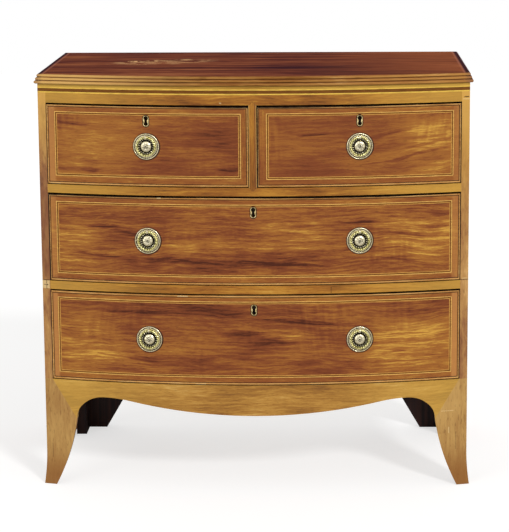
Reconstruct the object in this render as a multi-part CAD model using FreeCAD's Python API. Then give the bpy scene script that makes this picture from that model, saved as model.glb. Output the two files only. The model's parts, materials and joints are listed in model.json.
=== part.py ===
"""Bow front chest of drawers, a traditional cabinetmaker's chest.

Two short drawers stand over two long ones in a carcass whose front is one circular bow. It rests on
splayed bracket feet. Every wooden piece, lock, handle plate and ring is a separate solid.

Frame, in millimetres: X to the right, Y from front to back, Z up. The origin lies on the floor, in
the middle of the plan. The bow is an arc about a vertical axis behind the chest, so whatever follows
the front is an arc, a revolve or a turn about that axis.
"""
import FreeCAD
import Part
import math
import os

V = FreeCAD.Vector

# ---------------------------------------------------------------- overall sizes
CARCASS_WIDTH = 930.0
SIDE_DEPTH = 450.0        # front corner to back, along a side
BOW_RISE = 62.0           # how far the middle of the front stands before its corners
TOP_OVERHANG = 7.0
TOP_BACK_OVERHANG = 2.0

# ---------------------------------------------------------------- heights, from the floor up
BASE_HEIGHT = 239.5       # floor to the bottom drawer's opening
BOTTOM_OPENING = 203.0
MIDDLE_OPENING = 195.5
TOP_OPENING = 177.5
RAIL_THICKNESS = 18.5
FRIEZE_HEIGHT = 41.0
TOP_THICKNESS = 20.5
REED_COUNT = 3

# ---------------------------------------------------------------- top board edge
REED_STEP_BACK = 3.0      # each reed stands this much behind the one below
REED_BULGE = 2.6
REED_BEVEL = 2.0

# ---------------------------------------------------------------- carcass boards
SIDE_THICKNESS = 17.5
RAIL_DEPTH_AT_SIDES = 42.0
HOUSING_DEPTH = 6.0       # how far rails and runners are let into the sides
HOUSING_STOP = 12.0       # the housing stops this far behind the front
MUNTIN_WIDTH = 16.5
MUNTIN_DEPTH = 40.0
RUNNER_WIDTH = 30.0
CENTRE_RUNNER_WIDTH = 56.0
GUIDE_HEIGHT = 18.0
DUST_BOARD_THICKNESS = 7.0
DUST_BOARD_TONGUE = 6.0
BOTTOM_BOARD_THICKNESS = 14.0
BACK_BOARD_THICKNESS = 10.0
BACK_REBATE = 9.0
BACK_BOARD_COUNT = 4
STOP_HEIGHT = 5.0
STOP_LENGTH = 34.0
STOP_DEPTH = 16.0
STOP_INSET = 110.0        # stop's middle from the end of its drawer
BLOCK_GAP = 20.0
BLOCK_SIZE = 16.0
BLOCK_ROWS = 3

# ---------------------------------------------------------------- apron and feet
APRON_THICKNESS = 20.0
APRON_CENTRE_Z = 171.0    # lower edge of the apron in the middle
APRON_CENTRE_RADIUS = 1385.0
APRON_SHOULDER_X = 275.0  # the flat centre arc ends here
APRON_CREST_X = 333.0     # highest point of the arch
FOOT_TOE_KICK = 6.0       # how far the toe splays out
FOOT_KICK_HEIGHT = 78.0
FOOT_KICK_SHARE = 0.25    # of the splay, what is left half way up it
FOOT_TOE_WIDTH = 22.0     # on the floor, without the splay
FOOT_KNEE_Z = 152.0       # where the foot's inner curve meets the arch
FOOT_KNEE_WIDTH = 71.0
FOOT_CURVE_Z = 61.0       # a point that the inner curve passes
FOOT_CURVE_WIDTH = 48.5
SIDE_ARCH_HEIGHT = 50.0   # rise of the side's arch above the knee
SIDE_ARCH_REACH = 60.0
FRONT_BLOCK_SIZE = 24.0
FRONT_BLOCK_FOOT_GAP = 80.0
BACK_FOOT_WIDTH = 100.0   # of the back foot, on the floor, seen from the side
BACK_BRACKET_WIDTH = 84.0  # of the back bracket, on the floor, seen from behind
BACK_BRACKET_TOP = 130.0
BACK_BRACKET_THICKNESS = 20.0
BACK_BLOCK_SIZE = 24.0
BACK_BLOCK_REACH = 80.0   # from the back of the chest to the block's front

# ---------------------------------------------------------------- drawers
FRONT_THICKNESS = 22.0
FRONT_SIDE_GAP = 1.0      # between a drawer front and what stands beside it
FRONT_GAP_BELOW = 2.2
FRONT_GAP_ABOVE = 3.6
BEAD_THICKNESS = 3.2
BEAD_DEPTH = 6.0
BEAD_PROUD = 1.6
BEAD_NOSE_SHARE = 0.7     # of the bead's stand, bevelled off both arrises
LINING_THICKNESS = 9.0
LINING_TOP_DROP = 7.0     # drawer sides stand lower than the front
RUNNING_GAP = 0.3
DRAWER_BACK_GAP = 14.0    # drawer to back boards
BOTTOM_THICKNESS = 6.0
BOTTOM_LIFT = 8.0         # underside of the drawer bottom above the sides' lower edge
BOTTOM_GROOVE = 4.0
DOVETAIL_LENGTH = 13.0
DOVETAIL_COUNT = 4
DOVETAIL_SPLAY = 2.6
DOVETAIL_PITCH_SHARE = 0.62

# ---------------------------------------------------------------- locks and keyholes
KEYHOLE_DROP = 31.4       # keyhole centre below the drawer front's top
KEYHOLE_RADIUS = 3.6
KEYHOLE_HEIGHT = 19.6
KEYHOLE_SLOT = 4.4
ESCUTCHEON_WIDTH = 13.6
ESCUTCHEON_HEIGHT = 25.8
ESCUTCHEON_THICKNESS = 2.0
ESCUTCHEON_PROUD = 0.3
LOCK_WIDTH = 56.0
LOCK_HEIGHT = 52.0
LOCK_DEPTH = 10.0
LOCK_WALL = 1.5
BOLT_WIDTH = 24.0
BOLT_THICKNESS = 5.0
BOLT_HEIGHT = 16.0
BOLT_TRAVEL = 9.0
BOLT_GAP = 0.4
BOLT_REST_DROP = 0.5
MORTISE_GAP = 1.0
KEY_PIN_RADIUS = 1.5
ROUND_SIDES = 6           # flats to a round end of the small brasses

# ---------------------------------------------------------------- ring pulls
HANDLE_X = 228.0
HANDLE_LIFT = 0.0         # above the drawer front's middle
PLATE_RADIUS = 28.3
PLATE_THICKNESS = 1.2
PLATE_RIM_WIDTH = 2.9
PLATE_RIM_HEIGHT = 2.6
RING_RADIUS = 19.75       # to the middle of the ring's section
RING_SECTION = 3.0
FLUTE_RING_RADIUS = 16.2
FLUTE_RING_HEIGHT = 2.4
BOSS_RADIUS = 12.0
BOSS_HEIGHT = 5.6
BOSS_SHOULDER = 0.8       # of the boss's radius and height, where its dome turns over
BOSS_CROWN = 0.35         # of its radius, the flat in its middle
JOURNAL_RADIUS = 2.3      # of the neck by which the ring hangs in the eye
EYE_WALL = 1.5
EYE_WIDTH = 4.0
EYE_SIDES = 8
STEM_SHARE = 0.9          # of the eye's radius, half the width of the stem that carries it
PLATE_SIDES = 16
RING_SIDES = 16
RING_SECTION_SIDES = 6
POST_RADIUS = 2.6
NUT_RADIUS = 6.0
NUT_HEIGHT = 4.0

# ---------------------------------------------------------------- places that follow
HALF_WIDTH = CARCASS_WIDTH / 2
PLAN_DEPTH = TOP_OVERHANG + BOW_RISE + SIDE_DEPTH + TOP_BACK_OVERHANG
CORNER_Y = -PLAN_DEPTH / 2 + TOP_OVERHANG + BOW_RISE
BACK_Y = CORNER_Y + SIDE_DEPTH
BOW_RADIUS = (HALF_WIDTH ** 2 + BOW_RISE ** 2) / (2 * BOW_RISE)
BOW_AXIS_Y = CORNER_Y - BOW_RISE + BOW_RADIUS
OPENING_HALF = HALF_WIDTH - SIDE_THICKNESS
BACK_BOARD_Y = BACK_Y - BACK_BOARD_THICKNESS
DRAWER_END_Y = BACK_BOARD_Y - DRAWER_BACK_GAP
RAIL_BACK_Y = CORNER_Y + RAIL_DEPTH_AT_SIDES
RUNNER_INNER_X = OPENING_HALF - RUNNER_WIDTH

BOTTOM_Z = (BASE_HEIGHT, BASE_HEIGHT + BOTTOM_OPENING)
MIDDLE_Z = (BOTTOM_Z[1] + RAIL_THICKNESS, BOTTOM_Z[1] + RAIL_THICKNESS + MIDDLE_OPENING)
TOP_Z = (MIDDLE_Z[1] + RAIL_THICKNESS, MIDDLE_Z[1] + RAIL_THICKNESS + TOP_OPENING)
CARCASS_TOP_Z = TOP_Z[1] + FRIEZE_HEIGHT
HEIGHT = CARCASS_TOP_Z + TOP_THICKNESS
REED_HEIGHT = TOP_THICKNESS / REED_COUNT
BASE_INSIDE_Z = BASE_HEIGHT - BOTTOM_BOARD_THICKNESS
FAR = 2 * CARCASS_WIDTH   # longer than anything in the chest
CUT_MARGIN = 1.0          # how far a cut runs past the faces that it opens
SWEEP_SHARE = 1.2         # of half the width, how far a swept front reaches
ON_SURFACE = 0.01         # a point this near a surface lies on it


# ---------------------------------------------------------------- shapes shared by many pieces
def box(x0, x1, y0, y1, z0, z1):
    """A box between two corners."""
    return Part.makeBox(x1 - x0, y1 - y0, z1 - z0, V(x0, y0, z0))


def bow_y(x, inset=0.0):
    """Y of the bowed surface that lies inset behind the carcass front."""
    radius = BOW_RADIUS - inset
    return BOW_AXIS_Y - math.sqrt(radius * radius - x * x)


def bow_arc(x0, x1, inset, z):
    """An arc of the bow from x0 to x1."""
    middle = (x0 + x1) / 2
    ends = [V(x, bow_y(x, inset), z) for x in (x0, middle, x1)]
    return Part.Arc(*ends).toShape()


def line(a, b):
    return Part.LineSegment(a, b).toShape()


def bow_panel(x0, x1, z0, z1, front, back):
    """A panel that follows the bow, between two insets behind the carcass front."""
    outer = bow_arc(x0, x1, front, z0)
    inner = bow_arc(x0, x1, back, z0)
    ends = [line(V(x, bow_y(x, front), z0), V(x, bow_y(x, back), z0)) for x in (x0, x1)]
    wire = Part.Wire(Part.__sortEdges__([outer, inner] + ends))
    return Part.Face(wire).extrude(V(0, 0, z1 - z0))


def bow_block(x0, x1, z0, z1, front, y_back):
    """A board with a bowed front edge and a straight back edge."""
    outer = bow_arc(x0, x1, front, z0)
    corners = [V(x1, bow_y(x1, front), z0), V(x1, y_back, z0), V(x0, y_back, z0),
               V(x0, bow_y(x0, front), z0)]
    edges = [line(a, b) for a, b in zip(corners, corners[1:])]
    return Part.Face(Part.Wire([outer] + edges)).extrude(V(0, 0, z1 - z0))


def round_bow(shape, x):
    """Turn a shape made at the middle of the front to where the bow passes x."""
    turned = shape.copy()
    angle = math.degrees(math.asin(x / BOW_RADIUS))
    turned.rotate(V(0, BOW_AXIS_Y, 0), V(0, 0, 1), angle)
    return turned


def polygon(points):
    """A closed wire of straight edges."""
    return Part.makePolygon(list(points) + [points[0]])


def prism(points, direction):
    return Part.Face(polygon(points)).extrude(direction)


def mirrored(shape):
    """The same shape on the other side of the chest."""
    return shape.mirror(V(0, 0, 0), V(1, 0, 0))


def both_sides(shape):
    """A shape and its mirror image, as separate solids."""
    return [shape, mirrored(shape)]


def group(shapes):
    """Separate solids kept together in one node."""
    return Part.makeCompound([solid for shape in shapes for solid in shape.Solids])


def inside_front(section, z0, z1):
    """All that lies behind a front surface, between two heights.

    The section is a list of edges in the plane X = 0 that runs from z0 up to z1.
    """
    back = BACK_Y + TOP_BACK_OVERHANG + BOW_RISE
    start = section[0].Vertexes[0].Point
    end = section[-1].Vertexes[-1].Point
    low, high = V(0, back, z0), V(0, back, z1)
    closing = [line(end, high), line(high, low), line(low, start)]
    face = Part.Face(Part.Wire(section + closing))
    span = 2 * math.degrees(math.asin(SWEEP_SHARE * HALF_WIDTH / (BOW_AXIS_Y - back)))
    face.rotate(V(0, BOW_AXIS_Y, 0), V(0, 0, 1), -span / 2)
    return face.revolve(V(0, BOW_AXIS_Y, 0), V(0, 0, 1), span)


def drawn_section(points_of, base):
    """Edges of a section, each made from the points that points_of lists, shifted to base."""
    edges = []
    for points in points_of:
        placed = [base(out, z) for out, z in points]
        edges.append(line(*placed) if len(placed) == 2 else Part.Arc(*placed).toShape())
    return edges


def front_plane(out, z):
    """A point of a section in the middle plane, out in front of the carcass."""
    return V(0, CORNER_Y - BOW_RISE - out, z)


def side_plane(out, z):
    """A point of a section across the chest, out from the right side."""
    return V(HALF_WIDTH + out, 0, z)


# ---------------------------------------------------------------- top board
def reed_section():
    """The top's edge: reeds that step back as they rise, each with two bevels and a flat crest."""
    lines = []
    for index in range(REED_COUNT):
        low = CARCASS_TOP_Z + index * REED_HEIGHT
        high = low + REED_HEIGHT
        crest = TOP_OVERHANG - index * REED_STEP_BACK
        root = crest - REED_BULGE
        if lines:
            lines.append([lines[-1][-1], (root, low)])
        lines.append([(root, low), (crest, low + REED_BEVEL)])
        lines.append([(crest, low + REED_BEVEL), (crest, high - REED_BEVEL)])
        lines.append([(crest, high - REED_BEVEL), (root, high)])
    return lines


def top_board():
    front = inside_front(drawn_section(reed_section(), front_plane), CARCASS_TOP_Z, HEIGHT)
    side = drawn_section(reed_section(), side_plane)
    low, high = side[0].Vertexes[0].Point, side[-1].Vertexes[-1].Point
    middle = [V(0, 0, high.z), V(0, 0, low.z)]
    closing = [line(high, middle[0]), line(middle[0], middle[1]), line(middle[1], low)]
    half = Part.Face(Part.Wire(side + closing))
    half.translate(V(0, -FAR / 2, 0))
    half = half.extrude(V(0, FAR / 2 + BACK_Y + TOP_BACK_OVERHANG, 0))
    return half.fuse(mirrored(half)).removeSplitter().common(front)


# ---------------------------------------------------------------- feet, apron and sides
def kick_edges(base, inset):
    """The splay of a foot's face, inset from its outer surface, from the floor up to the base's top."""
    bend = FOOT_TOE_KICK * FOOT_KICK_SHARE
    splay = [(FOOT_TOE_KICK - inset, 0), (bend - inset, FOOT_KICK_HEIGHT / 2), (-inset, FOOT_KICK_HEIGHT)]
    return drawn_section([splay, [splay[-1], (-inset, BASE_HEIGHT)]], base)


def splayed_side(y0, y1, thickness):
    """A board of the right side's base between y0 and y1, splayed at the foot."""
    outer = kick_edges(side_plane, 0)
    inner = kick_edges(side_plane, thickness)
    top = line(outer[-1].Vertexes[-1].Point, inner[-1].Vertexes[-1].Point)
    floor = line(outer[0].Vertexes[0].Point, inner[0].Vertexes[0].Point)
    face = Part.Face(Part.Wire(Part.__sortEdges__(outer + inner + [top, floor])))
    face.translate(V(0, y0, 0))
    return face.extrude(V(0, y1 - y0, 0))


def foot_outline(place):
    """A foot seen square on. Place turns (distance in from the corner, z) into a point."""
    knee = (FOOT_KNEE_WIDTH, FOOT_KNEE_Z)
    inner = [(FOOT_TOE_WIDTH, 0), (FOOT_CURVE_WIDTH, FOOT_CURVE_Z), knee]
    shoulder = (SIDE_THICKNESS, BASE_HEIGHT)
    outside = -2 * FOOT_TOE_KICK
    corners = [knee, shoulder, (outside, BASE_HEIGHT), (outside, 0), (FOOT_TOE_WIDTH, 0)]
    edges = [Part.Arc(*[place(s, z) for s, z in inner]).toShape()]
    edges += [line(place(*a), place(*b)) for a, b in zip(corners, corners[1:])]
    return Part.Face(Part.Wire(edges))


def front_elevation(s, z):
    """A point before the chest, s in from its right corner."""
    return V(HALF_WIDTH - s, -FAR / 2, z)


def side_elevation(s, z):
    """A point in the middle of the chest, s behind its front corner."""
    return V(0, CORNER_Y + s, z)


def mitre_half(front):
    """The half of space before or behind the mitre, which holds the right front corner as it splays."""
    corner = V(HALF_WIDTH, CORNER_Y, -CUT_MARGIN)
    toe_x = HALF_WIDTH + FOOT_TOE_KICK
    toe = V(toe_x, bow_y(toe_x, -FOOT_TOE_KICK), -CUT_MARGIN)
    along = (corner - toe).normalize() * FAR
    across = V(-along.y, along.x, 0) if front else V(along.y, -along.x, 0)
    start = corner - along / 2
    points = [start, start + along, start + along + across, start + across]
    return prism(points, V(0, 0, BASE_HEIGHT + 2 * CUT_MARGIN))


def front_bracket():
    """The front piece of the right front foot."""
    outer = inside_front(kick_edges(front_plane, 0), 0, BASE_HEIGHT)
    inner = inside_front(kick_edges(front_plane, APRON_THICKNESS), 0, BASE_HEIGHT)
    band = outer.cut(inner)
    outline = foot_outline(front_elevation).extrude(V(0, FAR, 0))
    return band.common(outline).common(mitre_half(True))


def side_bracket():
    """The side piece of the right front foot, mitred to the front one."""
    outline = foot_outline(side_elevation).extrude(V(FAR, 0, 0))
    board = splayed_side(CORNER_Y - 2 * FOOT_TOE_KICK, CORNER_Y + 2 * FOOT_KNEE_WIDTH, SIDE_THICKNESS)
    return board.common(outline).common(mitre_half(False))


def quarter_ellipse(centre, reach, rise, across):
    """The corner of an arch: from reach along across to rise above centre."""
    points = []
    for step in range(3):
        angle = math.pi / 4 * step
        points.append(centre + across * (reach * math.cos(angle)) + V(0, 0, rise * math.sin(angle)))
    curve = Part.BSplineCurve()
    curve.interpolate(Points=points, InitialTangent=V(0, 0, rise), FinalTangent=across * -reach)
    return curve.toShape()


def apron():
    """The shaped apron between the front feet."""
    crest_z = apron_crest_z()
    knee_x = HALF_WIDTH - FOOT_KNEE_WIDTH
    y = -FAR / 2
    knee = V(knee_x, y, FOOT_KNEE_Z)
    crest = V(APRON_CREST_X, y, crest_z)
    shoulder = V(APRON_SHOULDER_X, y, APRON_CENTRE_Z + sag(APRON_SHOULDER_X, APRON_CENTRE_RADIUS))
    bend = convex_middle(shoulder, crest)
    centre = V(0, y, APRON_CENTRE_Z)
    right = [quarter_ellipse(V(APRON_CREST_X, y, FOOT_KNEE_Z), knee_x - APRON_CREST_X,
                             crest_z - FOOT_KNEE_Z, V(1, 0, 0)),
             Part.Arc(crest, bend, shoulder).toShape()]
    left = [mirrored(edge) for edge in right]
    low = Part.Arc(shoulder, centre, V(-shoulder.x, y, shoulder.z)).toShape()
    top = V(OPENING_HALF, y, BASE_HEIGHT)
    joint = line(knee, top)
    upper = line(top, V(-top.x, y, top.z))
    wire = Part.Wire(Part.__sortEdges__(right + left + [low, upper, joint, mirrored(joint)]))
    outline = Part.Face(wire).extrude(V(0, FAR, 0))
    return outline.common(bow_panel(-HALF_WIDTH, HALF_WIDTH, 0, BASE_HEIGHT, 0, APRON_THICKNESS))


def sag(distance, radius):
    """How far a circle has left its tangent at a distance."""
    return radius - math.sqrt(radius * radius - distance * distance)


def crest_radius():
    """Radius of the arc that leads the centre arc's end level into the crest."""
    slope = math.asin(APRON_SHOULDER_X / APRON_CENTRE_RADIUS)
    return (APRON_CREST_X - APRON_SHOULDER_X) / math.sin(slope)


def apron_crest_z():
    shoulder_z = APRON_CENTRE_Z + sag(APRON_SHOULDER_X, APRON_CENTRE_RADIUS)
    return shoulder_z + sag(APRON_CREST_X - APRON_SHOULDER_X, crest_radius())


def convex_middle(shoulder, crest):
    """A point half way along the arc that ends level at the crest."""
    half = (crest.x - shoulder.x) / 2
    return V(crest.x - half, crest.y, crest.z - sag(half, crest_radius()))


def back_side_outline(place):
    """The side bracket of a back foot, s measured forward from the back. It is straight behind."""
    knee = (BACK_FOOT_WIDTH + FOOT_KNEE_WIDTH - FOOT_TOE_WIDTH, FOOT_KNEE_Z)
    curve = (BACK_FOOT_WIDTH + FOOT_CURVE_WIDTH - FOOT_TOE_WIDTH, FOOT_CURVE_Z)
    inner = [(BACK_FOOT_WIDTH, 0), curve, knee]
    corners = [knee, (knee[0] - FOOT_KNEE_WIDTH, BASE_HEIGHT), (0, BASE_HEIGHT), (0, 0),
               (BACK_FOOT_WIDTH, 0)]
    edges = [Part.Arc(*[place(s, z) for s, z in inner]).toShape()]
    edges += [line(place(*a), place(*b)) for a, b in zip(corners, corners[1:])]
    return Part.Face(Part.Wire(edges))


def back_elevation(s, z):
    """A point in the middle of the chest, s before its back."""
    return V(0, BACK_Y - s, z)


def back_side_bracket():
    outline = back_side_outline(back_elevation).extrude(V(FAR, 0, 0))
    board = splayed_side(BACK_Y - SIDE_DEPTH / 2, BACK_Y, SIDE_THICKNESS)
    return board.common(outline).cut(back_rebate())


def back_bracket():
    """The plain slanted piece across the back of a back foot."""
    inner_x = HALF_WIDTH - BACK_BRACKET_WIDTH
    slant_x = inner_x - (BACK_BRACKET_TOP - BACK_BRACKET_WIDTH)
    y = BACK_Y - BACK_BRACKET_THICKNESS
    outer_x = HALF_WIDTH + FOOT_TOE_KICK
    points = [V(inner_x, y, 0), V(outer_x, y, 0), V(outer_x, y, BASE_INSIDE_Z),
              V(slant_x, y, BASE_INSIDE_Z)]
    board = prism(points, V(0, BACK_BRACKET_THICKNESS, 0))
    inside = splayed_side(BACK_Y - SIDE_DEPTH / 2, BACK_Y + CUT_MARGIN, HALF_WIDTH)
    side = splayed_side(BACK_Y - SIDE_DEPTH / 2, BACK_Y + CUT_MARGIN, SIDE_THICKNESS)
    return board.common(inside).cut(side)


def back_block():
    """The block in the corner of a back foot, which reaches the floor."""
    x1 = HALF_WIDTH - SIDE_THICKNESS
    y1 = BACK_Y - BACK_BRACKET_THICKNESS
    return box(x1 - BACK_BLOCK_SIZE, x1, BACK_Y - BACK_BLOCK_REACH, y1, 0, BASE_INSIDE_Z)


def front_block():
    """The block in the corner of a front foot, behind both brackets."""
    x1 = HALF_WIDTH - SIDE_THICKNESS
    return bow_block(x1 - FRONT_BLOCK_SIZE, x1, FRONT_BLOCK_FOOT_GAP, BASE_INSIDE_Z, APRON_THICKNESS,
                     bow_y(x1, APRON_THICKNESS) + FRONT_BLOCK_SIZE)


def back_rebate():
    """The rebate in the right side that takes the ends of the back boards."""
    return box(OPENING_HALF, OPENING_HALF + BACK_REBATE, BACK_BOARD_Y, BACK_Y, BASE_INSIDE_Z, CARCASS_TOP_Z)


def side_board():
    """The right side, with a shaped lower edge between the feet and grooves for what it carries."""
    x0, x1 = OPENING_HALF, HALF_WIDTH
    board = bow_block(x0, x1, BASE_HEIGHT, CARCASS_TOP_Z, 0, BACK_Y)
    board = board.fuse(side_skirt()).removeSplitter().cut(back_rebate())
    for low, high in ((BOTTOM_Z[1], MIDDLE_Z[0]), (MIDDLE_Z[1], TOP_Z[0])):
        board = board.cut(box(x0, x0 + HOUSING_DEPTH, bow_y(x0) + HOUSING_STOP, RAIL_BACK_Y, low, high))
    return board


def side_skirt():
    """The low part of a side, between its front and back feet."""
    front_knee = side_elevation(FOOT_KNEE_WIDTH, FOOT_KNEE_Z)
    front_top = side_elevation(SIDE_THICKNESS, BASE_HEIGHT)
    knee_s = BACK_FOOT_WIDTH + FOOT_KNEE_WIDTH - FOOT_TOE_WIDTH
    back_knee = back_elevation(knee_s, FOOT_KNEE_Z)
    back_top = back_elevation(knee_s - FOOT_KNEE_WIDTH, BASE_HEIGHT)
    arch_z = FOOT_KNEE_Z + SIDE_ARCH_HEIGHT
    front_centre = V(0, front_knee.y + SIDE_ARCH_REACH, FOOT_KNEE_Z)
    back_centre = V(0, back_knee.y - SIDE_ARCH_REACH, FOOT_KNEE_Z)
    edges = [quarter_ellipse(front_centre, SIDE_ARCH_REACH, SIDE_ARCH_HEIGHT, V(0, -1, 0)),
             quarter_ellipse(back_centre, SIDE_ARCH_REACH, SIDE_ARCH_HEIGHT, V(0, 1, 0)),
             line(V(0, front_centre.y, arch_z), V(0, back_centre.y, arch_z)),
             line(front_knee, front_top), line(front_top, back_top), line(back_top, back_knee)]
    face = Part.Face(Part.Wire(Part.__sortEdges__(edges)))
    face.translate(V(OPENING_HALF, 0, 0))
    return face.extrude(V(SIDE_THICKNESS, 0, 0))


# ---------------------------------------------------------------- inside the carcass
def lock_mortise(x, z):
    """The hole in a rail's lower face that a raised lock bolt enters."""
    middle = BOW_AXIS_Y - BOW_RADIUS + FRONT_THICKNESS - LOCK_DEPTH / 2
    half = BOLT_WIDTH / 2 + MORTISE_GAP
    deep = BOLT_THICKNESS / 2 + MORTISE_GAP
    height = BOLT_TRAVEL - FRONT_GAP_ABOVE + MORTISE_GAP
    return round_bow(box(-half, half, middle - deep, middle + deep, z, z + height), x)


def muntin():
    """The upright between the short drawers, with a pointed end let into each rail."""
    half = MUNTIN_WIDTH / 2
    low, high = TOP_Z
    y = -FAR / 2
    points = [V(-half, y, low), V(0, y, low - half), V(half, y, low), V(half, y, high),
              V(0, y, high + half), V(-half, y, high)]
    outline = prism(points, V(0, FAR, 0))
    return outline.common(bow_panel(-half, half, low - half, high + half, 0, MUNTIN_DEPTH))


def rail(low, high, lock_x, notched):
    """A rail between drawers, tenoned into both sides."""
    board = bow_block(-OPENING_HALF, OPENING_HALF, low, high, 0, RAIL_BACK_Y)
    tenon = box(OPENING_HALF, OPENING_HALF + HOUSING_DEPTH, bow_y(OPENING_HALF) + HOUSING_STOP, RAIL_BACK_Y,
                low, high)
    for end in both_sides(tenon):
        board = board.fuse(end)
    board = board.removeSplitter().cut(lock_mortise(lock_x, low))
    board = board.cut(box(-RUNNER_INNER_X, RUNNER_INNER_X, RAIL_BACK_Y - DUST_BOARD_TONGUE, RAIL_BACK_Y,
                          dust_z(low)[0], dust_z(low)[1]))
    return board.cut(muntin()) if notched else board


def dust_z(low):
    """Heights of the dust board in a rail that starts at low."""
    start = low + (RAIL_THICKNESS - DUST_BOARD_THICKNESS) / 2
    return start, start + DUST_BOARD_THICKNESS


def frieze():
    """The rail under the top."""
    board = bow_block(-OPENING_HALF, OPENING_HALF, TOP_Z[1], CARCASS_TOP_Z, 0, RAIL_BACK_Y)
    for x in (-HANDLE_X, HANDLE_X):
        board = board.cut(lock_mortise(x, TOP_Z[1]))
    return board.cut(muntin())


def runners():
    """Runners behind the rails, a centre runner and guide, and kickers under the top."""
    pieces = []
    for low, high in ((BOTTOM_Z[1], MIDDLE_Z[0]), (MIDDLE_Z[1], TOP_Z[0])):
        groove = box(-FAR, RUNNER_INNER_X + DUST_BOARD_TONGUE, RAIL_BACK_Y, BACK_Y, *dust_z(low))
        runner = box(RUNNER_INNER_X, OPENING_HALF, RAIL_BACK_Y, BACK_BOARD_Y, low, high)
        pieces += both_sides(runner.cut(groove))
    half = CENTRE_RUNNER_WIDTH / 2
    centre = box(-half, half, RAIL_BACK_Y, BACK_BOARD_Y, MIDDLE_Z[1], TOP_Z[0])
    for side in both_sides(box(half - DUST_BOARD_TONGUE, half, RAIL_BACK_Y, BACK_Y, *dust_z(MIDDLE_Z[1]))):
        centre = centre.cut(side)
    guide_half = MUNTIN_WIDTH / 2
    guide = box(-guide_half, guide_half, bow_y(guide_half, MUNTIN_DEPTH), BACK_BOARD_Y,
                TOP_Z[0], TOP_Z[0] + GUIDE_HEIGHT)
    kicker = box(RUNNER_INNER_X, OPENING_HALF, RAIL_BACK_Y, BACK_BOARD_Y, TOP_Z[1], CARCASS_TOP_Z)
    centre_kicker = box(-half, half, RAIL_BACK_Y, BACK_BOARD_Y, TOP_Z[1], CARCASS_TOP_Z)
    return group(pieces + both_sides(kicker) + [centre, guide, centre_kicker])


def dust_boards():
    """Thin boards between the drawers."""
    x = RUNNER_INNER_X + DUST_BOARD_TONGUE
    y = RAIL_BACK_Y - DUST_BOARD_TONGUE
    tongue = box(-RUNNER_INNER_X, RUNNER_INNER_X, y, RAIL_BACK_Y, *dust_z(BOTTOM_Z[1]))
    lower = box(-x, x, RAIL_BACK_Y, BACK_BOARD_Y, *dust_z(BOTTOM_Z[1])).fuse(tongue)
    inner = CENTRE_RUNNER_WIDTH / 2 - DUST_BOARD_TONGUE
    tongue = box(CENTRE_RUNNER_WIDTH / 2, RUNNER_INNER_X, y, RAIL_BACK_Y, *dust_z(MIDDLE_Z[1]))
    upper = box(inner, x, RAIL_BACK_Y, BACK_BOARD_Y, *dust_z(MIDDLE_Z[1])).fuse(tongue)
    return group([lower.removeSplitter()] + both_sides(upper.removeSplitter()))


def base_board():
    return bow_block(-OPENING_HALF, OPENING_HALF, BASE_INSIDE_Z, BASE_HEIGHT, APRON_THICKNESS, BACK_BOARD_Y)


def back_boards():
    """Level boards let into the sides' rebates."""
    height = (CARCASS_TOP_Z - BASE_INSIDE_Z) / BACK_BOARD_COUNT
    x = OPENING_HALF + BACK_REBATE
    lows = [BASE_INSIDE_Z + index * height for index in range(BACK_BOARD_COUNT)]
    return group([box(-x, x, BACK_BOARD_Y, BACK_Y, low, low + height) for low in lows])


def glue_blocks():
    """Blocks that hold the bottom board to the sides."""
    first = CORNER_Y + FOOT_KNEE_WIDTH + SIDE_ARCH_REACH
    last = BACK_Y - BACK_FOOT_WIDTH - FOOT_KNEE_WIDTH
    pitch = (last - first + BLOCK_GAP) / BLOCK_ROWS
    pieces = []
    for index in range(BLOCK_ROWS):
        start = first + index * pitch
        pieces += both_sides(box(OPENING_HALF - BLOCK_SIZE, OPENING_HALF, start, start + pitch - BLOCK_GAP,
                                 BASE_INSIDE_Z - BLOCK_SIZE, BASE_INSIDE_Z))
    return group(pieces)


def drawer_stops():
    """Small blocks behind the drawer fronts, on what each drawer runs over."""
    long_x = OPENING_HALF - STOP_INSET
    pieces = []
    for low, places in ((BOTTOM_Z[0], (long_x,)), (MIDDLE_Z[0], (long_x,)),
                        (TOP_Z[0], (long_x, STOP_INSET))):
        for x in places:
            y = BOW_AXIS_Y - BOW_RADIUS + FRONT_THICKNESS + RUNNING_GAP
            block = box(-STOP_LENGTH / 2, STOP_LENGTH / 2, y, y + STOP_DEPTH, low, low + STOP_HEIGHT)
            pieces += both_sides(round_bow(block, x))
    return group(pieces)


# ---------------------------------------------------------------- brass
def arc_points(x, z, radius, start, stop):
    """Points (x, z) along a round end, from one angle to another in degrees."""
    step = (stop - start) / ROUND_SIDES
    angles = [math.radians(start + step * k) for k in range(ROUND_SIDES + 1)]
    return [(x + radius * math.cos(a), z + radius * math.sin(a)) for a in angles]


def facing_prism(outline, y0, y1):
    """A prism through the drawer front whose outline is a list of (x, z)."""
    return prism([V(x, y0, z) for x, z in outline], V(0, y1 - y0, 0))


def keyhole(y0, y1, centre_z):
    """A keyhole: a round head over a slot with a round end."""
    slot = KEYHOLE_SLOT / 2
    head_z = centre_z + KEYHOLE_HEIGHT / 2 - KEYHOLE_RADIUS
    foot_z = centre_z - KEYHOLE_HEIGHT / 2 + slot
    neck = math.degrees(math.asin(slot / KEYHOLE_RADIUS))
    outline = arc_points(0, head_z, KEYHOLE_RADIUS, neck - 90, 270 - neck)
    return facing_prism(outline + arc_points(0, foot_z, slot, 180, 360), y0, y1)


def escutcheon_body(y0, y1, centre_z):
    """The outline of the escutcheon: a slot with round ends."""
    radius = ESCUTCHEON_WIDTH / 2
    reach = ESCUTCHEON_HEIGHT / 2 - radius
    upper = arc_points(0, centre_z + reach, radius, 0, 180)
    lower = arc_points(0, centre_z - reach, radius, 180, 360)
    return facing_prism(upper + lower, y0, y1)


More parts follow.
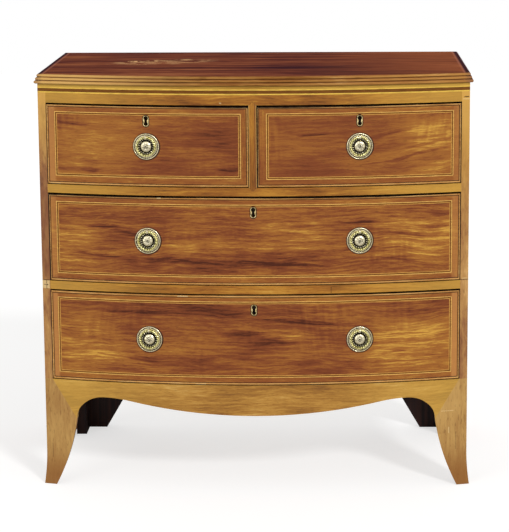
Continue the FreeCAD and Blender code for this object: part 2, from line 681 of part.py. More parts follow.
class LockPlace:
    """Where one drawer's lock sits, made at the middle of the front."""

    def __init__(self, top_z):
        self.face_y = BOW_AXIS_Y - BOW_RADIUS
        self.back_y = self.face_y + FRONT_THICKNESS
        self.top_z = top_z
        self.key_z = top_z - KEYHOLE_DROP

    def case_space(self):
        half = LOCK_WIDTH / 2
        return box(-half, half, self.back_y - LOCK_DEPTH, self.back_y + CUT_MARGIN,
                   self.top_z - LOCK_HEIGHT, self.top_z + CUT_MARGIN)

    def case(self):
        half = LOCK_WIDTH / 2
        y0, y1 = self.back_y - LOCK_DEPTH, self.back_y
        solid = box(-half, half, y0, y1, self.top_z - LOCK_HEIGHT, self.top_z)
        wide = BOLT_WIDTH / 2 + BOLT_GAP
        deep = BOLT_THICKNESS / 2 + BOLT_GAP
        middle = (y0 + y1) / 2
        low = self.top_z - LOCK_HEIGHT + LOCK_WALL
        works = box(-wide, wide, middle - deep, middle + deep, low, self.top_z)
        solid = solid.cut(works).cut(keyhole(y0 - CUT_MARGIN, middle, self.key_z))
        pin_z = self.key_z + KEYHOLE_HEIGHT / 2 - KEYHOLE_RADIUS
        pin = arc_points(0, pin_z, KEY_PIN_RADIUS, 0, 360)[1:]
        return solid.fuse(facing_prism(pin, y0 + LOCK_WALL, y1 - LOCK_WALL / 2))

    def bolt(self):
        middle = self.back_y - LOCK_DEPTH / 2
        half, deep = BOLT_WIDTH / 2, BOLT_THICKNESS / 2
        top = self.top_z - BOLT_REST_DROP
        return box(-half, half, middle - deep, middle + deep, top - BOLT_HEIGHT, top)

    def escutcheon(self):
        y0 = self.face_y - ESCUTCHEON_PROUD
        y1 = self.face_y + ESCUTCHEON_THICKNESS
        hole = keyhole(y0 - CUT_MARGIN, y1 + CUT_MARGIN, self.key_z)
        return escutcheon_body(y0, y1, self.key_z).cut(hole)

    def cuts(self):
        """What the lock, the escutcheon and the key need cut from the drawer front."""
        start = self.face_y - CUT_MARGIN
        seat = escutcheon_body(start, self.face_y + ESCUTCHEON_THICKNESS, self.key_z)
        return self.case_space().fuse(seat).fuse(keyhole(start, self.back_y, self.key_z))


def plate_section():
    """A plate from its back to the boss's top, as (radius, height over the drawer front)."""
    return [(PLATE_RADIUS, 0), (PLATE_RADIUS, PLATE_THICKNESS),
            (PLATE_RADIUS - PLATE_RIM_WIDTH / 2, PLATE_RIM_HEIGHT),
            (PLATE_RADIUS - PLATE_RIM_WIDTH, PLATE_THICKNESS), (FLUTE_RING_RADIUS, PLATE_THICKNESS),
            (BOSS_RADIUS, FLUTE_RING_HEIGHT), (BOSS_RADIUS * BOSS_SHOULDER, BOSS_HEIGHT * BOSS_SHOULDER),
            (BOSS_RADIUS * BOSS_CROWN, BOSS_HEIGHT)]


def solid_of(faces):
    """A solid bounded by flat faces, right side out."""
    solid = Part.makeSolid(Part.makeShell(faces))
    return solid if solid.Volume > 0 else solid.reversed()


def turned(section, sides, face_y, z):
    """A flat-sided turning about an axis along Y, from its section as (radius, height before face_y)."""
    def rim(radius, height):
        angles = [2 * math.pi * (k + 0.5) / sides for k in range(sides)]
        return [V(radius * math.cos(a), face_y - height, z + radius * math.sin(a)) for a in angles]

    rims = [rim(radius, height) for radius, height in section]
    faces = [Part.Face(polygon(rims[0])), Part.Face(polygon(rims[-1]))]
    for (_, h0), (_, h1), low, high in zip(section, section[1:], rims, rims[1:]):
        if h0 == h1:
            flats = [Part.Face(polygon(low)), Part.Face(polygon(high))]
            flats.sort(key=lambda face: face.Area)
            faces += flats[1].cut(flats[0]).Faces
            continue
        for k in range(sides):
            corners = [low[k - 1], low[k], high[k], high[k - 1]]
            faces.append(Part.Face(polygon(corners)))
    return solid_of(faces)


def ring_height():
    """Height of the ring's middle over the plate's back."""
    return PLATE_THICKNESS + RUNNING_GAP + RING_SECTION


def across_prism(radius, sides, width, y, z):
    """A flat-sided bar across the chest, width long, about the point (y, z)."""
    angles = [2 * math.pi * (k + 0.5) / sides for k in range(sides)]
    points = [V(-width / 2, y + radius * math.cos(a), z + radius * math.sin(a)) for a in angles]
    return prism(points, V(width, 0, 0))


def plate_and_post(z):
    """A stamped back plate with its eye and post, made at the middle of the front at height z."""
    face_y = BOW_AXIS_Y - BOW_RADIUS
    eye_y = face_y - ring_height()
    eye_z = z + RING_RADIUS
    bore = JOURNAL_RADIUS + RUNNING_GAP
    outer = (bore + EYE_WALL) / math.cos(math.pi / EYE_SIDES)
    half = EYE_WIDTH / 2
    stem = box(-half, half, eye_y, face_y - PLATE_THICKNESS / 2, eye_z - outer * STEM_SHARE,
               eye_z + outer * STEM_SHARE)
    eye = across_prism(outer, EYE_SIDES, EYE_WIDTH, eye_y, eye_z).fuse(stem)
    plate = turned(plate_section(), PLATE_SIDES, face_y, z)
    post = facing_prism(arc_points(0, z, POST_RADIUS, 0, 360)[1:], face_y,
                        face_y + FRONT_THICKNESS + NUT_HEIGHT)
    hole = Part.makeCylinder(bore, EYE_WIDTH + 2 * CUT_MARGIN, V(-half - CUT_MARGIN, eye_y, eye_z),
                             V(1, 0, 0))
    return plate.fuse([post, eye]).cut(hole).removeSplitter()


def handle_nut(z):
    """A hexagonal nut on the post, behind the drawer front."""
    back_y = BOW_AXIS_Y - BOW_RADIUS + FRONT_THICKNESS
    nut, post = [facing_prism(arc_points(0, z, radius, 0, 360)[1:], back_y, back_y + NUT_HEIGHT)
                 for radius in (NUT_RADIUS, POST_RADIUS + RUNNING_GAP)]
    return nut.cut(post)


def ring(z):
    """The ring, in straight lengths. The top one is turned down to a neck, which hangs in the eye."""
    y = BOW_AXIS_Y - BOW_RADIUS - ring_height()
    neck = EYE_WIDTH + 2 * RUNNING_GAP
    top_z = z + RING_RADIUS
    around = RING_SECTION + CUT_MARGIN
    gap = box(-neck / 2, neck / 2, y - around, y + around, top_z - around, top_z + around)
    return ring_blank(y, z).cut(gap).fuse(across_prism(JOURNAL_RADIUS, EYE_SIDES, neck, y, top_z))


def ring_blank(y, z):
    """The ring before its neck is cut."""
    stretch = 1 / math.cos(math.pi / RING_SIDES)

    def section(k):
        turn = math.pi / 2 + 2 * math.pi * (k + 0.5) / RING_SIDES
        corners = []
        for j in range(RING_SECTION_SIDES):
            angle = 2 * math.pi * (j + 0.5) / RING_SECTION_SIDES
            reach = (RING_RADIUS + RING_SECTION * math.cos(angle)) * stretch
            lift = RING_SECTION * math.sin(angle)
            corners.append(V(reach * math.cos(turn), y + lift, z + reach * math.sin(turn)))
        return corners

    sections = [section(k) for k in range(RING_SIDES)]
    faces = []
    for k in range(RING_SIDES):
        low, high = sections[k - 1], sections[k]
        for j in range(RING_SECTION_SIDES):
            faces.append(Part.Face(polygon([low[j - 1], low[j], high[j], high[j - 1]])))
    return solid_of(faces)


# ---------------------------------------------------------------- drawers
class Drawer:
    """One drawer, between x0 and x1, in an opening from z_low to z_high."""

    def __init__(self, name, x0, x1, opening, lock_x, handles):
        self.name = name
        self.x0 = x0 + FRONT_SIDE_GAP
        self.x1 = x1 - FRONT_SIDE_GAP
        self.z0 = opening[0] + FRONT_GAP_BELOW
        self.z1 = opening[1] - FRONT_GAP_ABOVE
        self.floor = opening[0] + RUNNING_GAP
        self.side_top = self.z1 - LINING_TOP_DROP
        self.lock_x = lock_x
        self.lock = LockPlace(self.z1)
        self.handles = handles
        self.handle_z = (self.z0 + self.z1) / 2 + HANDLE_LIFT

    def shoulder(self, x_end, inward):
        """Where a side meets the flat seat at the front's back."""
        return min(bow_y(x_end, FRONT_THICKNESS), bow_y(x_end + inward * LINING_THICKNESS, FRONT_THICKNESS))

    def ends(self):
        """Both ends: the end's x, the direction into the drawer and the shoulder's y."""
        return [(self.x0, 1, self.shoulder(self.x0, 1)), (self.x1, -1, self.shoulder(self.x1, -1))]

    def tails(self, x_end, inward, shoulder):
        """The dovetails at the front of one side."""
        low, high = max(self.floor, self.z0), self.side_top
        pitch = (high - low) / DOVETAIL_COUNT
        half = pitch * DOVETAIL_PITCH_SHARE / 2
        tails = []
        for index in range(DOVETAIL_COUNT):
            middle = low + pitch * (index + 0.5)
            points = [V(x_end, shoulder, middle - half), V(x_end, shoulder, middle + half),
                      V(x_end, shoulder - DOVETAIL_LENGTH, middle + half + DOVETAIL_SPLAY),
                      V(x_end, shoulder - DOVETAIL_LENGTH, middle - half - DOVETAIL_SPLAY)]
            tails.append(prism(points, V(inward * LINING_THICKNESS, 0, 0)))
        return tails

    def front(self):
        """The bowed front, rebated for its bead, with seats for the sides and cuts for the lock."""
        bead = BEAD_THICKNESS
        face = bow_panel(self.x0 + bead, self.x1 - bead, self.z0 + bead, self.z1 - bead, 0, BEAD_DEPTH)
        core = bow_panel(self.x0, self.x1, self.z0, self.z1, BEAD_DEPTH, FRONT_THICKNESS)
        board = face.fuse(core).removeSplitter()
        for x_end, inward, shoulder in self.ends():
            xs = sorted((x_end, x_end + inward * LINING_THICKNESS))
            seat = box(xs[0], xs[1], shoulder, shoulder + FRONT_THICKNESS,
                       self.z0 - CUT_MARGIN, self.z1 + CUT_MARGIN)
            board = board.cut(seat)
            for tail in self.tails(x_end, inward, shoulder):
                board = board.cut(tail)
        board = board.cut(self.bottom_panel()).cut(round_bow(self.lock.cuts(), self.lock_x))
        for x in self.handles:
            outline = arc_points(0, self.handle_z, POST_RADIUS + RUNNING_GAP, 0, 360)[1:]
            hole = facing_prism(outline, self.lock.face_y - CUT_MARGIN, self.lock.back_y + CUT_MARGIN)
            board = board.cut(round_bow(hole, x))
        return board

    def bead(self):
        """The cock bead: four strips whose noses are two bevels."""
        out, deep, thick = BEAD_PROUD, BEAD_DEPTH, BEAD_THICKNESS
        strips = [bow_panel(self.x0, self.x1, z, z + thick, -out, deep)
                  for z in (self.z0, self.z1 - thick)]
        strips += [bow_panel(x, x + thick, self.z0 + thick, self.z1 - thick, -out, deep)
                   for x in (self.x0, self.x1 - thick)]
        return group([self.eased(strip) for strip in strips])

    def eased(self, strip):
        """A strip whose two long front arrises are bevelled."""
        long_edges = []
        for edge in strip.Edges:
            ends = (edge.FirstParameter, edge.LastParameter)
            points = [edge.valueAt(ends[0]), edge.valueAt(sum(ends) / 2), edge.valueAt(ends[1])]
            on_nose = all(abs(p.y - bow_y(p.x, -BEAD_PROUD)) < ON_SURFACE for p in points)
            if on_nose and edge.Length > 2 * BEAD_THICKNESS:
                long_edges.append(edge)
        return strip.makeChamfer(BEAD_PROUD * BEAD_NOSE_SHARE, long_edges)

    def sides(self):
        """Both sides, with dovetails, grooves for the bottom and a notch for the back."""
        boards = []
        for x_end, inward, shoulder in self.ends():
            xs = sorted((x_end, x_end + inward * LINING_THICKNESS))
            board = box(xs[0], xs[1], shoulder, DRAWER_END_Y, self.floor, self.side_top)
            for tail in self.tails(x_end, inward, shoulder):
                board = board.fuse(tail)
            boards.append(board.removeSplitter().cut(self.bottom_panel()))
        return group(boards)

    def bottom_panel(self):
        """The bottom, in grooves in the sides and the front."""
        low = self.floor + BOTTOM_LIFT
        inset = LINING_THICKNESS - BOTTOM_GROOVE
        return bow_block(self.x0 + inset, self.x1 - inset, low, low + BOTTOM_THICKNESS,
                         FRONT_THICKNESS - BOTTOM_GROOVE, DRAWER_END_Y)

    def back(self):
        """The back, between the sides and over the bottom."""
        low = self.floor + BOTTOM_LIFT + BOTTOM_THICKNESS
        return box(self.x0 + LINING_THICKNESS, self.x1 - LINING_THICKNESS, DRAWER_END_Y - LINING_THICKNESS,
                   DRAWER_END_Y, low, self.side_top - LINING_TOP_DROP)

    def nodes(self):
        """Every node of the drawer, by name."""
        plates = []
        for x in self.handles:
            plates += [round_bow(plate_and_post(self.handle_z), x), round_bow(handle_nut(self.handle_z), x)]
        made = {"front": self.front(), "cock_bead": self.bead(), "sides": self.sides(), "back": self.back(),
                "bottom": self.bottom_panel(), "lock": round_bow(self.lock.case(), self.lock_x),
                "lock_bolt": round_bow(self.lock.bolt(), self.lock_x),
                "escutcheon": round_bow(self.lock.escutcheon(), self.lock_x),
                "handle_plates": group(plates)}
        for x in self.handles:
            side = "" if len(self.handles) == 1 else ("_left" if x < 0 else "_right")
            made["ring" + side] = round_bow(ring(self.handle_z), x)
        return {self.name + "_" + part: shape for part, shape in made.items()}


def drawers():
    half = MUNTIN_WIDTH / 2
    return [Drawer("top_left", -OPENING_HALF, -half, TOP_Z, -HANDLE_X, (-HANDLE_X,)),
            Drawer("top_right", half, OPENING_HALF, TOP_Z, HANDLE_X, (HANDLE_X,)),
            Drawer("middle", -OPENING_HALF, OPENING_HALF, MIDDLE_Z, 0.0, (-HANDLE_X, HANDLE_X)),
            Drawer("bottom", -OPENING_HALF, OPENING_HALF, BOTTOM_Z, 0.0, (-HANDLE_X, HANDLE_X))]


# ---------------------------------------------------------------- the whole chest
def carcass():
    """Every node of the carcass, by name."""
    side = side_board()
    front_foot = [front_bracket(), side_bracket(), front_block()]
    back_foot = [back_side_bracket(), back_bracket(), back_block()]
    return {
        "top_board": top_board(),
        "side_right": side, "side_left": mirrored(side),
        "frieze_rail": frieze(),
        "rail_upper": rail(MIDDLE_Z[1], TOP_Z[0], 0.0, True),
        "rail_lower": rail(BOTTOM_Z[1], MIDDLE_Z[0], 0.0, False),
        "muntin": muntin(),
        "apron": apron(),
        "foot_front_right": group(front_foot),
        "foot_front_left": group([mirrored(piece) for piece in front_foot]),
        "foot_back_right": group(back_foot),
        "foot_back_left": group([mirrored(piece) for piece in back_foot]),
        "runners": runners(),
        "dust_boards": dust_boards(),
        "base_board": base_board(),
        "back_boards": back_boards(),
        "glue_blocks": glue_blocks(),
        "drawer_stops": drawer_stops(),
    }


def main():
    os.makedirs("parts", exist_ok=True)
    nodes = carcass()
    for drawer in drawers():
        nodes.update(drawer.nodes())
    for name, shape in nodes.items():
        shape.exportStep(os.path.join("parts", name + ".step"))
        print(name, len(shape.Solids), "valid" if shape.isValid() else "INVALID", round(shape.Volume))


main()
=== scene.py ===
"""A bow front chest of drawers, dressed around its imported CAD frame.

Lengths are metres in the row frame: X to the right of someone who faces the chest, Y to its back and
Z up from the floor. Colours are written as 8-bit sRGB and turned linear in one place.
"""

import json
import logging
import math
from dataclasses import dataclass, field, replace
from enum import Enum
from functools import cached_property, partial
from typing import Callable, Iterable, Sequence

import bmesh
import bpy
from mathutils import Matrix, Vector

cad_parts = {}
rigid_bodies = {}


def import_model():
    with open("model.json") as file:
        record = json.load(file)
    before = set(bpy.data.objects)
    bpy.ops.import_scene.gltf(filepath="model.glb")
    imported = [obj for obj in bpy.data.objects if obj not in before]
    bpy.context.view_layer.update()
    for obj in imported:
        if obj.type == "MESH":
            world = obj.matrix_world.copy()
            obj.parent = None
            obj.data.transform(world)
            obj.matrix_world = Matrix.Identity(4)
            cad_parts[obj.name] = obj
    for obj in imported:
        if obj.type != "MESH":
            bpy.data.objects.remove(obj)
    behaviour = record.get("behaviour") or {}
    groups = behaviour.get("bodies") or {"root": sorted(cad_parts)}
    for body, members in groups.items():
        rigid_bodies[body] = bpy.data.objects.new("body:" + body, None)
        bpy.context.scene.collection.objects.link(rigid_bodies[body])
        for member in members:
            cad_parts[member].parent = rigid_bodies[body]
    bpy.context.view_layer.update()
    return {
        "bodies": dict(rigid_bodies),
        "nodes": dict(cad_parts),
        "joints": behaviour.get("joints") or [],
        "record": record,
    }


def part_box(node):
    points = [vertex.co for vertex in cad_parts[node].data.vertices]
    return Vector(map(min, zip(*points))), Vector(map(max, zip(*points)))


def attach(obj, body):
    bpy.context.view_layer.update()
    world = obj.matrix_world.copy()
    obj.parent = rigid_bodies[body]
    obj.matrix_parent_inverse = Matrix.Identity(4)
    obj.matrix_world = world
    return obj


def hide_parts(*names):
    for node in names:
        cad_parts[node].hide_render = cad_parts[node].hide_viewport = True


log = logging.getLogger("chest")

MM = 0.001
FULL_TURN = 2 * math.pi
WELD_REACH = 1e-6
SCRAP_REACH = 1e-7

Rgb = tuple[int, int, int]
Rgba = tuple[float, float, float, float]
Pair = tuple[float, float]
Triple = tuple[float, float, float]
Edges = tuple[float, float, float, float]
Material = bpy.types.Material
Mesh = bpy.types.Mesh
Thing = bpy.types.Object
Tree = bpy.types.NodeTree


def linear(colour: Rgb) -> Rgba:
    """Turn an 8-bit sRGB colour into the linear RGBA that sockets take.

    Args:
        colour: red, green and blue from 0 to 255.

    Returns:
        The colour as linear RGBA.
    """
    parts = [c / 255 for c in colour]
    done = [p / 12.92 if p <= 0.04045 else ((p + 0.055) / 1.055) ** 2.4 for p in parts]
    return (done[0], done[1], done[2], 1.0)


# ------------------------------------------------------------------ node trees
def math_method(operation: str, swapped: bool = False) -> Callable[..., "Wire"]:
    """Make a method of Wire that adds one Math node.

    Args:
        operation: the node's operation.
        swapped: whether the wire is the second value.

    Returns:
        The method.
    """

    def method(wire: "Wire", other: object = 0.0) -> "Wire":
        """The result of the Math node."""
        return wire.graph.math(operation, *((other, wire) if swapped else (wire, other)))

    return method


@dataclass(frozen=True)
class Wire:
    """An output socket. Sums, products and comparisons of wires add Math nodes to their tree."""

    graph: "Graph"
    socket: bpy.types.NodeSocket

    __add__, __radd__ = math_method("ADD"), math_method("ADD", True)
    __sub__, __rsub__ = math_method("SUBTRACT"), math_method("SUBTRACT", True)
    __mul__, __rmul__ = math_method("MULTIPLY"), math_method("MULTIPLY", True)
    __truediv__, __pow__ = math_method("DIVIDE"), math_method("POWER")
    __gt__, __lt__ = math_method("GREATER_THAN"), math_method("LESS_THAN")
    __abs__, root, sign = math_method("ABSOLUTE"), math_method("SQRT"), math_method("SIGN")
    floor, fract = math_method("FLOOR"), math_method("FRACT")
    most, least = math_method("MAXIMUM"), math_method("MINIMUM")

    def span(self, low: float, high: float, to: Pair = (0.0, 1.0)) -> "Wire":
        """Map low..high smoothly to another range, without leaving it.

        Args:
            low: where the output starts.
            high: where the output ends.
            to: the output's two ends.

        Returns:
            The mapped value.
        """
        inputs = {"Value": self, "From Min": low, "From Max": high, "To Min": to[0], "To Max": to[1]}
        return self.graph.wire("ShaderNodeMapRange", inputs, interpolation_type="SMOOTHSTEP")

    def split(self) -> list["Wire"]:
        """The three values of a vector."""
        made = self.graph.node("ShaderNodeSeparateXYZ", {0: self})
        return [Wire(self.graph, socket) for socket in made.outputs]

    def beyond(self, low: float, high: float) -> "Wire":
        """How far a value lies outside low..high. It is less than nought inside."""
        return abs(self - (low + high) / 2) - (high - low) / 2


class Graph:
    """Adds nodes to one node tree. An input takes a plain value or a wire."""

    def __init__(self, tree: Tree) -> None:
        """Keep the tree that the nodes go into."""
        self.tree = tree

    def feed(self, node: bpy.types.Node, inputs: dict) -> None:
        """Link or set inputs of a node.

        Args:
            node: the node.
            inputs: wires or plain values, by input name or number.
        """
        for key, value in inputs.items():
            if isinstance(value, Wire):
                self.tree.links.new(value.socket, node.inputs[key])
            else:
                node.inputs[key].default_value = value

    def node(self, kind: str, inputs: dict | None = None, **settings: object) -> bpy.types.Node:
        """Add a node.

        Args:
            kind: the node's type name.
            inputs: wires or plain values, by input name or number.
            settings: the node's own properties.

        Returns:
            The new node.
        """
        made = self.tree.nodes.new(kind)
        for key, value in settings.items():
            setattr(made, key, value)
        self.feed(made, inputs or {})
        return made

    def wire(self, kind: str, inputs: dict | None = None, output: int | str = 0, **settings: object) -> Wire:
        """One output of a new node."""
        return Wire(self, self.node(kind, inputs, **settings).outputs[output])

    def outputs(self, node: bpy.types.Node) -> dict[str, Wire]:
        """A node's outputs by name."""
        return {socket.name: Wire(self, socket) for socket in node.outputs}

    def math(self, operation: str, a: object, b: object = 0.0, clamp: bool = False) -> Wire:
        """The result of a Math node."""
        return self.wire("ShaderNodeMath", {0: a, 1: b}, operation=operation, use_clamp=clamp)

    def noise(self, place: Wire, scale: float = 1.0, detail: float = 2.0, rough: float = 0.5) -> Wire:
        """A noise value about 0.5 at each place."""
        inputs = {"Vector": place, "Scale": scale, "Detail": detail, "Roughness": rough}
        return self.wire("ShaderNodeTexNoise", inputs, noise_dimensions="3D")

    def join(self, x: object, y: object = 0.0, z: object = 0.0) -> Wire:
        """A vector from three values."""
        return self.wire("ShaderNodeCombineXYZ", {0: x, 1: y, 2: z})

    def blend(self, share: object, a: object, b: object, mode: str = "MIX") -> Wire:
        """Blend two colours by a share of the second."""
        inputs = {"Factor": share, 6: a, 7: b}
        return self.wire("ShaderNodeMix", inputs, 2, data_type="RGBA", blend_type=mode)

    def group(self, tree: Tree, inputs: dict) -> dict[str, Wire]:
        """Place a node group and give its outputs by name."""
        return self.outputs(self.node("ShaderNodeGroup", inputs, node_tree=tree))


FLOAT, VECTOR, COLOUR = "NodeSocketFloat", "NodeSocketVector", "NodeSocketColor"


def new_group(name: str, inputs: dict[str, str],
              outputs: dict[str, str]) -> tuple[Graph, dict[str, Wire], bpy.types.Node]:
    """Start a shader node group.

    Args:
        name: the group's name.
        inputs: the socket type of each input.
        outputs: the socket type of each output.

    Returns:
        The group's graph, its inputs by name and its output node.
    """
    tree = bpy.data.node_groups.new(name, "ShaderNodeTree")
    for way, sockets in (("INPUT", inputs), ("OUTPUT", outputs)):
        for label, kind in sockets.items():
            tree.interface.new_socket(name=label, in_out=way, socket_type=kind)
    g = Graph(tree)
    return g, g.outputs(g.node("NodeGroupInput")), g.node("NodeGroupOutput")


class Effects:
    """The shader node groups that several finishes share, each built once.

    A noise of the figure has its scale along and across the grain, its detail and its roughness.
    """

    SEED_STEP = (3.1, 1.7)
    WANDER_SCALES, WANDER_RIPPLE = (3.2, 14.0), 0.3
    STREAKS, PATCHES = (1.0, 1.0, 4.0, 0.62), (1.0, 0.12, 2.0, 0.5)
    FINE, PORES = (4.5, 2.2, 3.0, 0.75), (14.0, 5.0, 1.0, 0.5)
    PORE_ENDS, PORE_DARK = (0.6, 0.72), (0.42, 0.36, 0.34, 1.0)
    SWING = 2.2
    CURL_SCALES, CURL_WANDER = (105.0, 16.0), 9.0
    CURL_AREA_SCALE, CURL_AREA_ENDS = 9.0, (0.5, 0.66)
    DRIFT = (0.03, 0.002)
    TONE_ENDS = {"Red": (0.0, 0.36), "Amber": (0.3, 0.66), "Gold": (0.62, 1.0)}
    CLOUD_GRAIN, CLOUD_FADE = (13.0, 210.0), (1.9, 0.0)
    WEAR_SCALE, WEAR_ENDS = 55.0, (0.985, 0.86)
    # The corner mask is painted shade from ambient occlusion, made uneven by a noise that stands for dust.
    GRIME_SCALE, GRIME_SHARE, GRIME_ENDS = 40.0, 0.5, (1.05, 0.45)
    SAMPLES = 4

    def __init__(self) -> None:
        """Build every group."""
        self.figure = self.build_figure()
        self.stain = self.build_stain()
        self.cloud = self.build_cloud()
        self.wear = self.build_wear()
        self.grime = self.build_grime_and_shade()

    def build_figure(self) -> Tree:
        """The figure of sawn timber. Place has the grain along its X.

        Returns:
            A group that gives the tone, the pores and the place drifted along the grain.
        """
        names = ("Seed", "Along", "Across", "Depth", "Wave", "Streaks", "Patches", "Fine", "Ripple", "Lift")
        g, take, sink = new_group("timber figure", {"Place": VECTOR, **dict.fromkeys(names, FLOAT)},
                                  {"Tone": FLOAT, "Pores": FLOAT, "Drifted": VECTOR})
        x, y, z = take["Place"].split()
        shift_x, shift_y = (take["Seed"] * step for step in self.SEED_STEP)
        shifted = g.join(x + shift_x, y + shift_y, z)
        broad, rippled = (g.noise(shifted, scale, 1.0) for scale in self.WANDER_SCALES)
        wander = (broad - 0.5) + (rippled - 0.5) * self.WANDER_RIPPLE
        y_wavy = y + wander * take["Wave"]

        def stretched(along: float, across: float, detail: float, rough: float) -> Wire:
            """A noise drawn out along the grain.

            Args:
                along: its scale along the grain.
                across: its scale across the grain.
                detail: its detail.
                rough: its roughness.

            Returns:
                The noise.
            """
            place = g.join((x + shift_x) * (take["Along"] * along),
                           (y_wavy + shift_y) * (take["Across"] * across), z * (take["Depth"] * across))
            return g.noise(place, 1.0, detail, rough)

        def swing(value: Wire, amount: object) -> Wire:
            """A noise about nought, widened and weighted."""
            return (value - 0.5) * self.SWING * amount

        streaks, patches, fine, pores = (
            stretched(*noise) for noise in (self.STREAKS, self.PATCHES, self.FINE, self.PORES))
        curl_place = g.join(x * self.CURL_SCALES[0] + broad * self.CURL_WANDER, y * self.CURL_SCALES[1])
        curl = swing(g.noise(curl_place, 1.0, 1.0, 0.4), take["Ripple"])
        curled = g.noise(shifted, self.CURL_AREA_SCALE, 1.0).span(*self.CURL_AREA_ENDS)
        tone = 0.5 + swing(streaks, take["Streaks"])
        tone = tone + swing(patches, take["Patches"]) + swing(fine, take["Fine"]) + curl * curled
        drifted = g.join(x + swing(streaks, self.DRIFT[0]), y_wavy + swing(fine, self.DRIFT[1]), z)
        g.feed(sink, {"Tone": tone + take["Lift"], "Pores": pores.span(*self.PORE_ENDS), "Drifted": drifted})
        return g.tree

    def build_stain(self) -> Tree:
        """The colour of a tone, from four colours, with darker pores.

        Returns:
            A group that gives the colour.
        """
        inputs = {**dict.fromkeys(("Tone", "Pores", "Pore Strength"), FLOAT),
                  **dict.fromkeys(("Deep", "Red", "Amber", "Gold"), COLOUR)}
        g, take, sink = new_group("timber stain", inputs, {"Colour": COLOUR})
        colour = take["Deep"]
        for name, ends in self.TONE_ENDS.items():
            colour = g.blend(take["Tone"].span(*ends), colour, take[name])
        dark = g.blend(1.0, colour, self.PORE_DARK, "MULTIPLY")
        g.feed(sink, {"Colour": g.blend(take["Pores"] * take["Pore Strength"], colour, dark)})
        return g.tree

    def build_cloud(self) -> Tree:
        """A soft patch of lighter or darker figure.

        Returns:
            A group that gives the amount, faded out round the patch.
        """
        names = ("Centre X", "Centre Z", "Reach X", "Reach Z", "Slope", "Amount")
        g, take, sink = new_group("figure cloud", {"Place": VECTOR, **dict.fromkeys(names, FLOAT)},
                                  {"Value": FLOAT})
        x, z, _ = take["Place"].split()
        dx = x - take["Centre X"]
        dz = z - take["Centre Z"] - dx * take["Slope"]
        away = (dx / take["Reach X"]) ** 2.0 + (dz / take["Reach Z"]) ** 2.0
        grain = g.noise(g.join(dx * self.CLOUD_GRAIN[0], dz * self.CLOUD_GRAIN[1]), 1.0, 2.0, 0.6)
        faded = away.span(*self.CLOUD_FADE) * grain.span(0.34, 0.62, (0.45, 1.2))
        g.feed(sink, {"Value": faded * take["Amount"]})
        return g.tree

    def build_wear(self) -> Tree:
        """Where arrises are rubbed.

        Returns:
            A group that gives a mask along the arrises.
        """
        g, take, sink = new_group("edge wear", {"Place": VECTOR, "Reach": FLOAT}, {"Mask": FLOAT})
        rounded = g.wire("ShaderNodeBevel", {"Radius": take["Reach"]}, samples=self.SAMPLES)
        flat = g.wire("ShaderNodeNewGeometry", output="Normal")
        facing = g.wire("ShaderNodeVectorMath", {0: rounded, 1: flat}, "Value", operation="DOT_PRODUCT")
        broken = g.noise(take["Place"], self.WEAR_SCALE, 3.0, 0.6).span(0.4, 0.62)
        g.feed(sink, {"Mask": facing.span(*self.WEAR_ENDS) * broken})
        return g.tree

    def build_grime_and_shade(self) -> Tree:
        """Painted shade in the corners, from ambient occlusion, mixed unevenly with old polish and dust.

        Returns:
            A group that gives a mask in the corners.
        """
        # The mask is painted shade wherever ambient occlusion finds cover, with some dust over it.
        g, take, sink = new_group("corner grime", {"Place": VECTOR, "Reach": FLOAT}, {"Mask": FLOAT})
        shelter = g.wire("ShaderNodeAmbientOcclusion", {"Distance": take["Reach"]}, "AO", samples=self.SAMPLES)
        uneven = g.noise(take["Place"], self.GRIME_SCALE, 2.0) * self.GRIME_SHARE
        g.feed(sink, {"Mask": (shelter + uneven).span(*self.GRIME_ENDS)})
        return g.tree


# ------------------------------------------------------------------ finishes
class Grain(Enum):
    """Which way the grain of a piece runs: the axes along it, across it and through the board."""

    LEVEL = "xzy"  # on a board that stands
    LYING = "xyz"  # level, on a board that lies
    UPRIGHT = "zxy"  # seen from the front
    SIDE = "zyx"  # upright, seen from the side
    FORE_AND_AFT = "yxz"


@dataclass(frozen=True)
class Coat:
    """A colour laid over another: none where a measure is low and its full share where it is high.

    Without these two ends the measure itself is the mask.
    """

    colour: Rgb
    share: float = 1.0
    low: float | None = None
    high: float = 0.0

    def mask(self, measure: Wire) -> Wire:
        """How much of the coat lies at each place."""
        ends = (0.0, self.share)
        return measure * self.share if self.low is None else measure.span(self.low, self.high, ends)


@dataclass(frozen=True)
class Cloud:
    """A listed patch of figure: its centre and reach in millimetres, its tilt in degrees."""

    x: float
    z: float
    reach_x: float
    reach_z: float
    tilt: float
    amount: float


@dataclass(frozen=True)
class Mark:
    """A small scar on the front: a pale bruise or a dark crack. Its edges are in millimetres."""

    x0: float
    x1: float
    z0: float
    z1: float
    colour: Rgb
    strength: float = 0.8


@dataclass(frozen=True)
class Timber:
    """A wood, from its darkest streaks to its lightest."""

    name: str
    tones: tuple[Rgb, Rgb, Rgb, Rgb]
    grain: Grain = Grain.LEVEL
    stretch: Triple = (6.5, 140.0, 8.0)
    seed: float = 0.0
    wave: float = 0.03
    streaks: float = 0.34
    patches: float = 0.3
    fine: float = 0.42
    ripple: float = 0.0
    pores: float = 0.45
    lift: float = 0.0
    roughness: float = 0.38
    top_roughness: float | None = None
    polish: float = 0.03
    specular: float = 0.14
    # how strongly painted corner shade, mixed with dust, darkens this wood
    grime: float = 0.5
    wear: float = 0.3


@dataclass(frozen=True)
class Brass:
    """A brass, bright where it is rubbed and dark in its recesses."""

    name: str
    bright: Rgb
    dull: Rgb
    dirt: Rgb = (18, 12, 6)
    roughness: float = 0.28


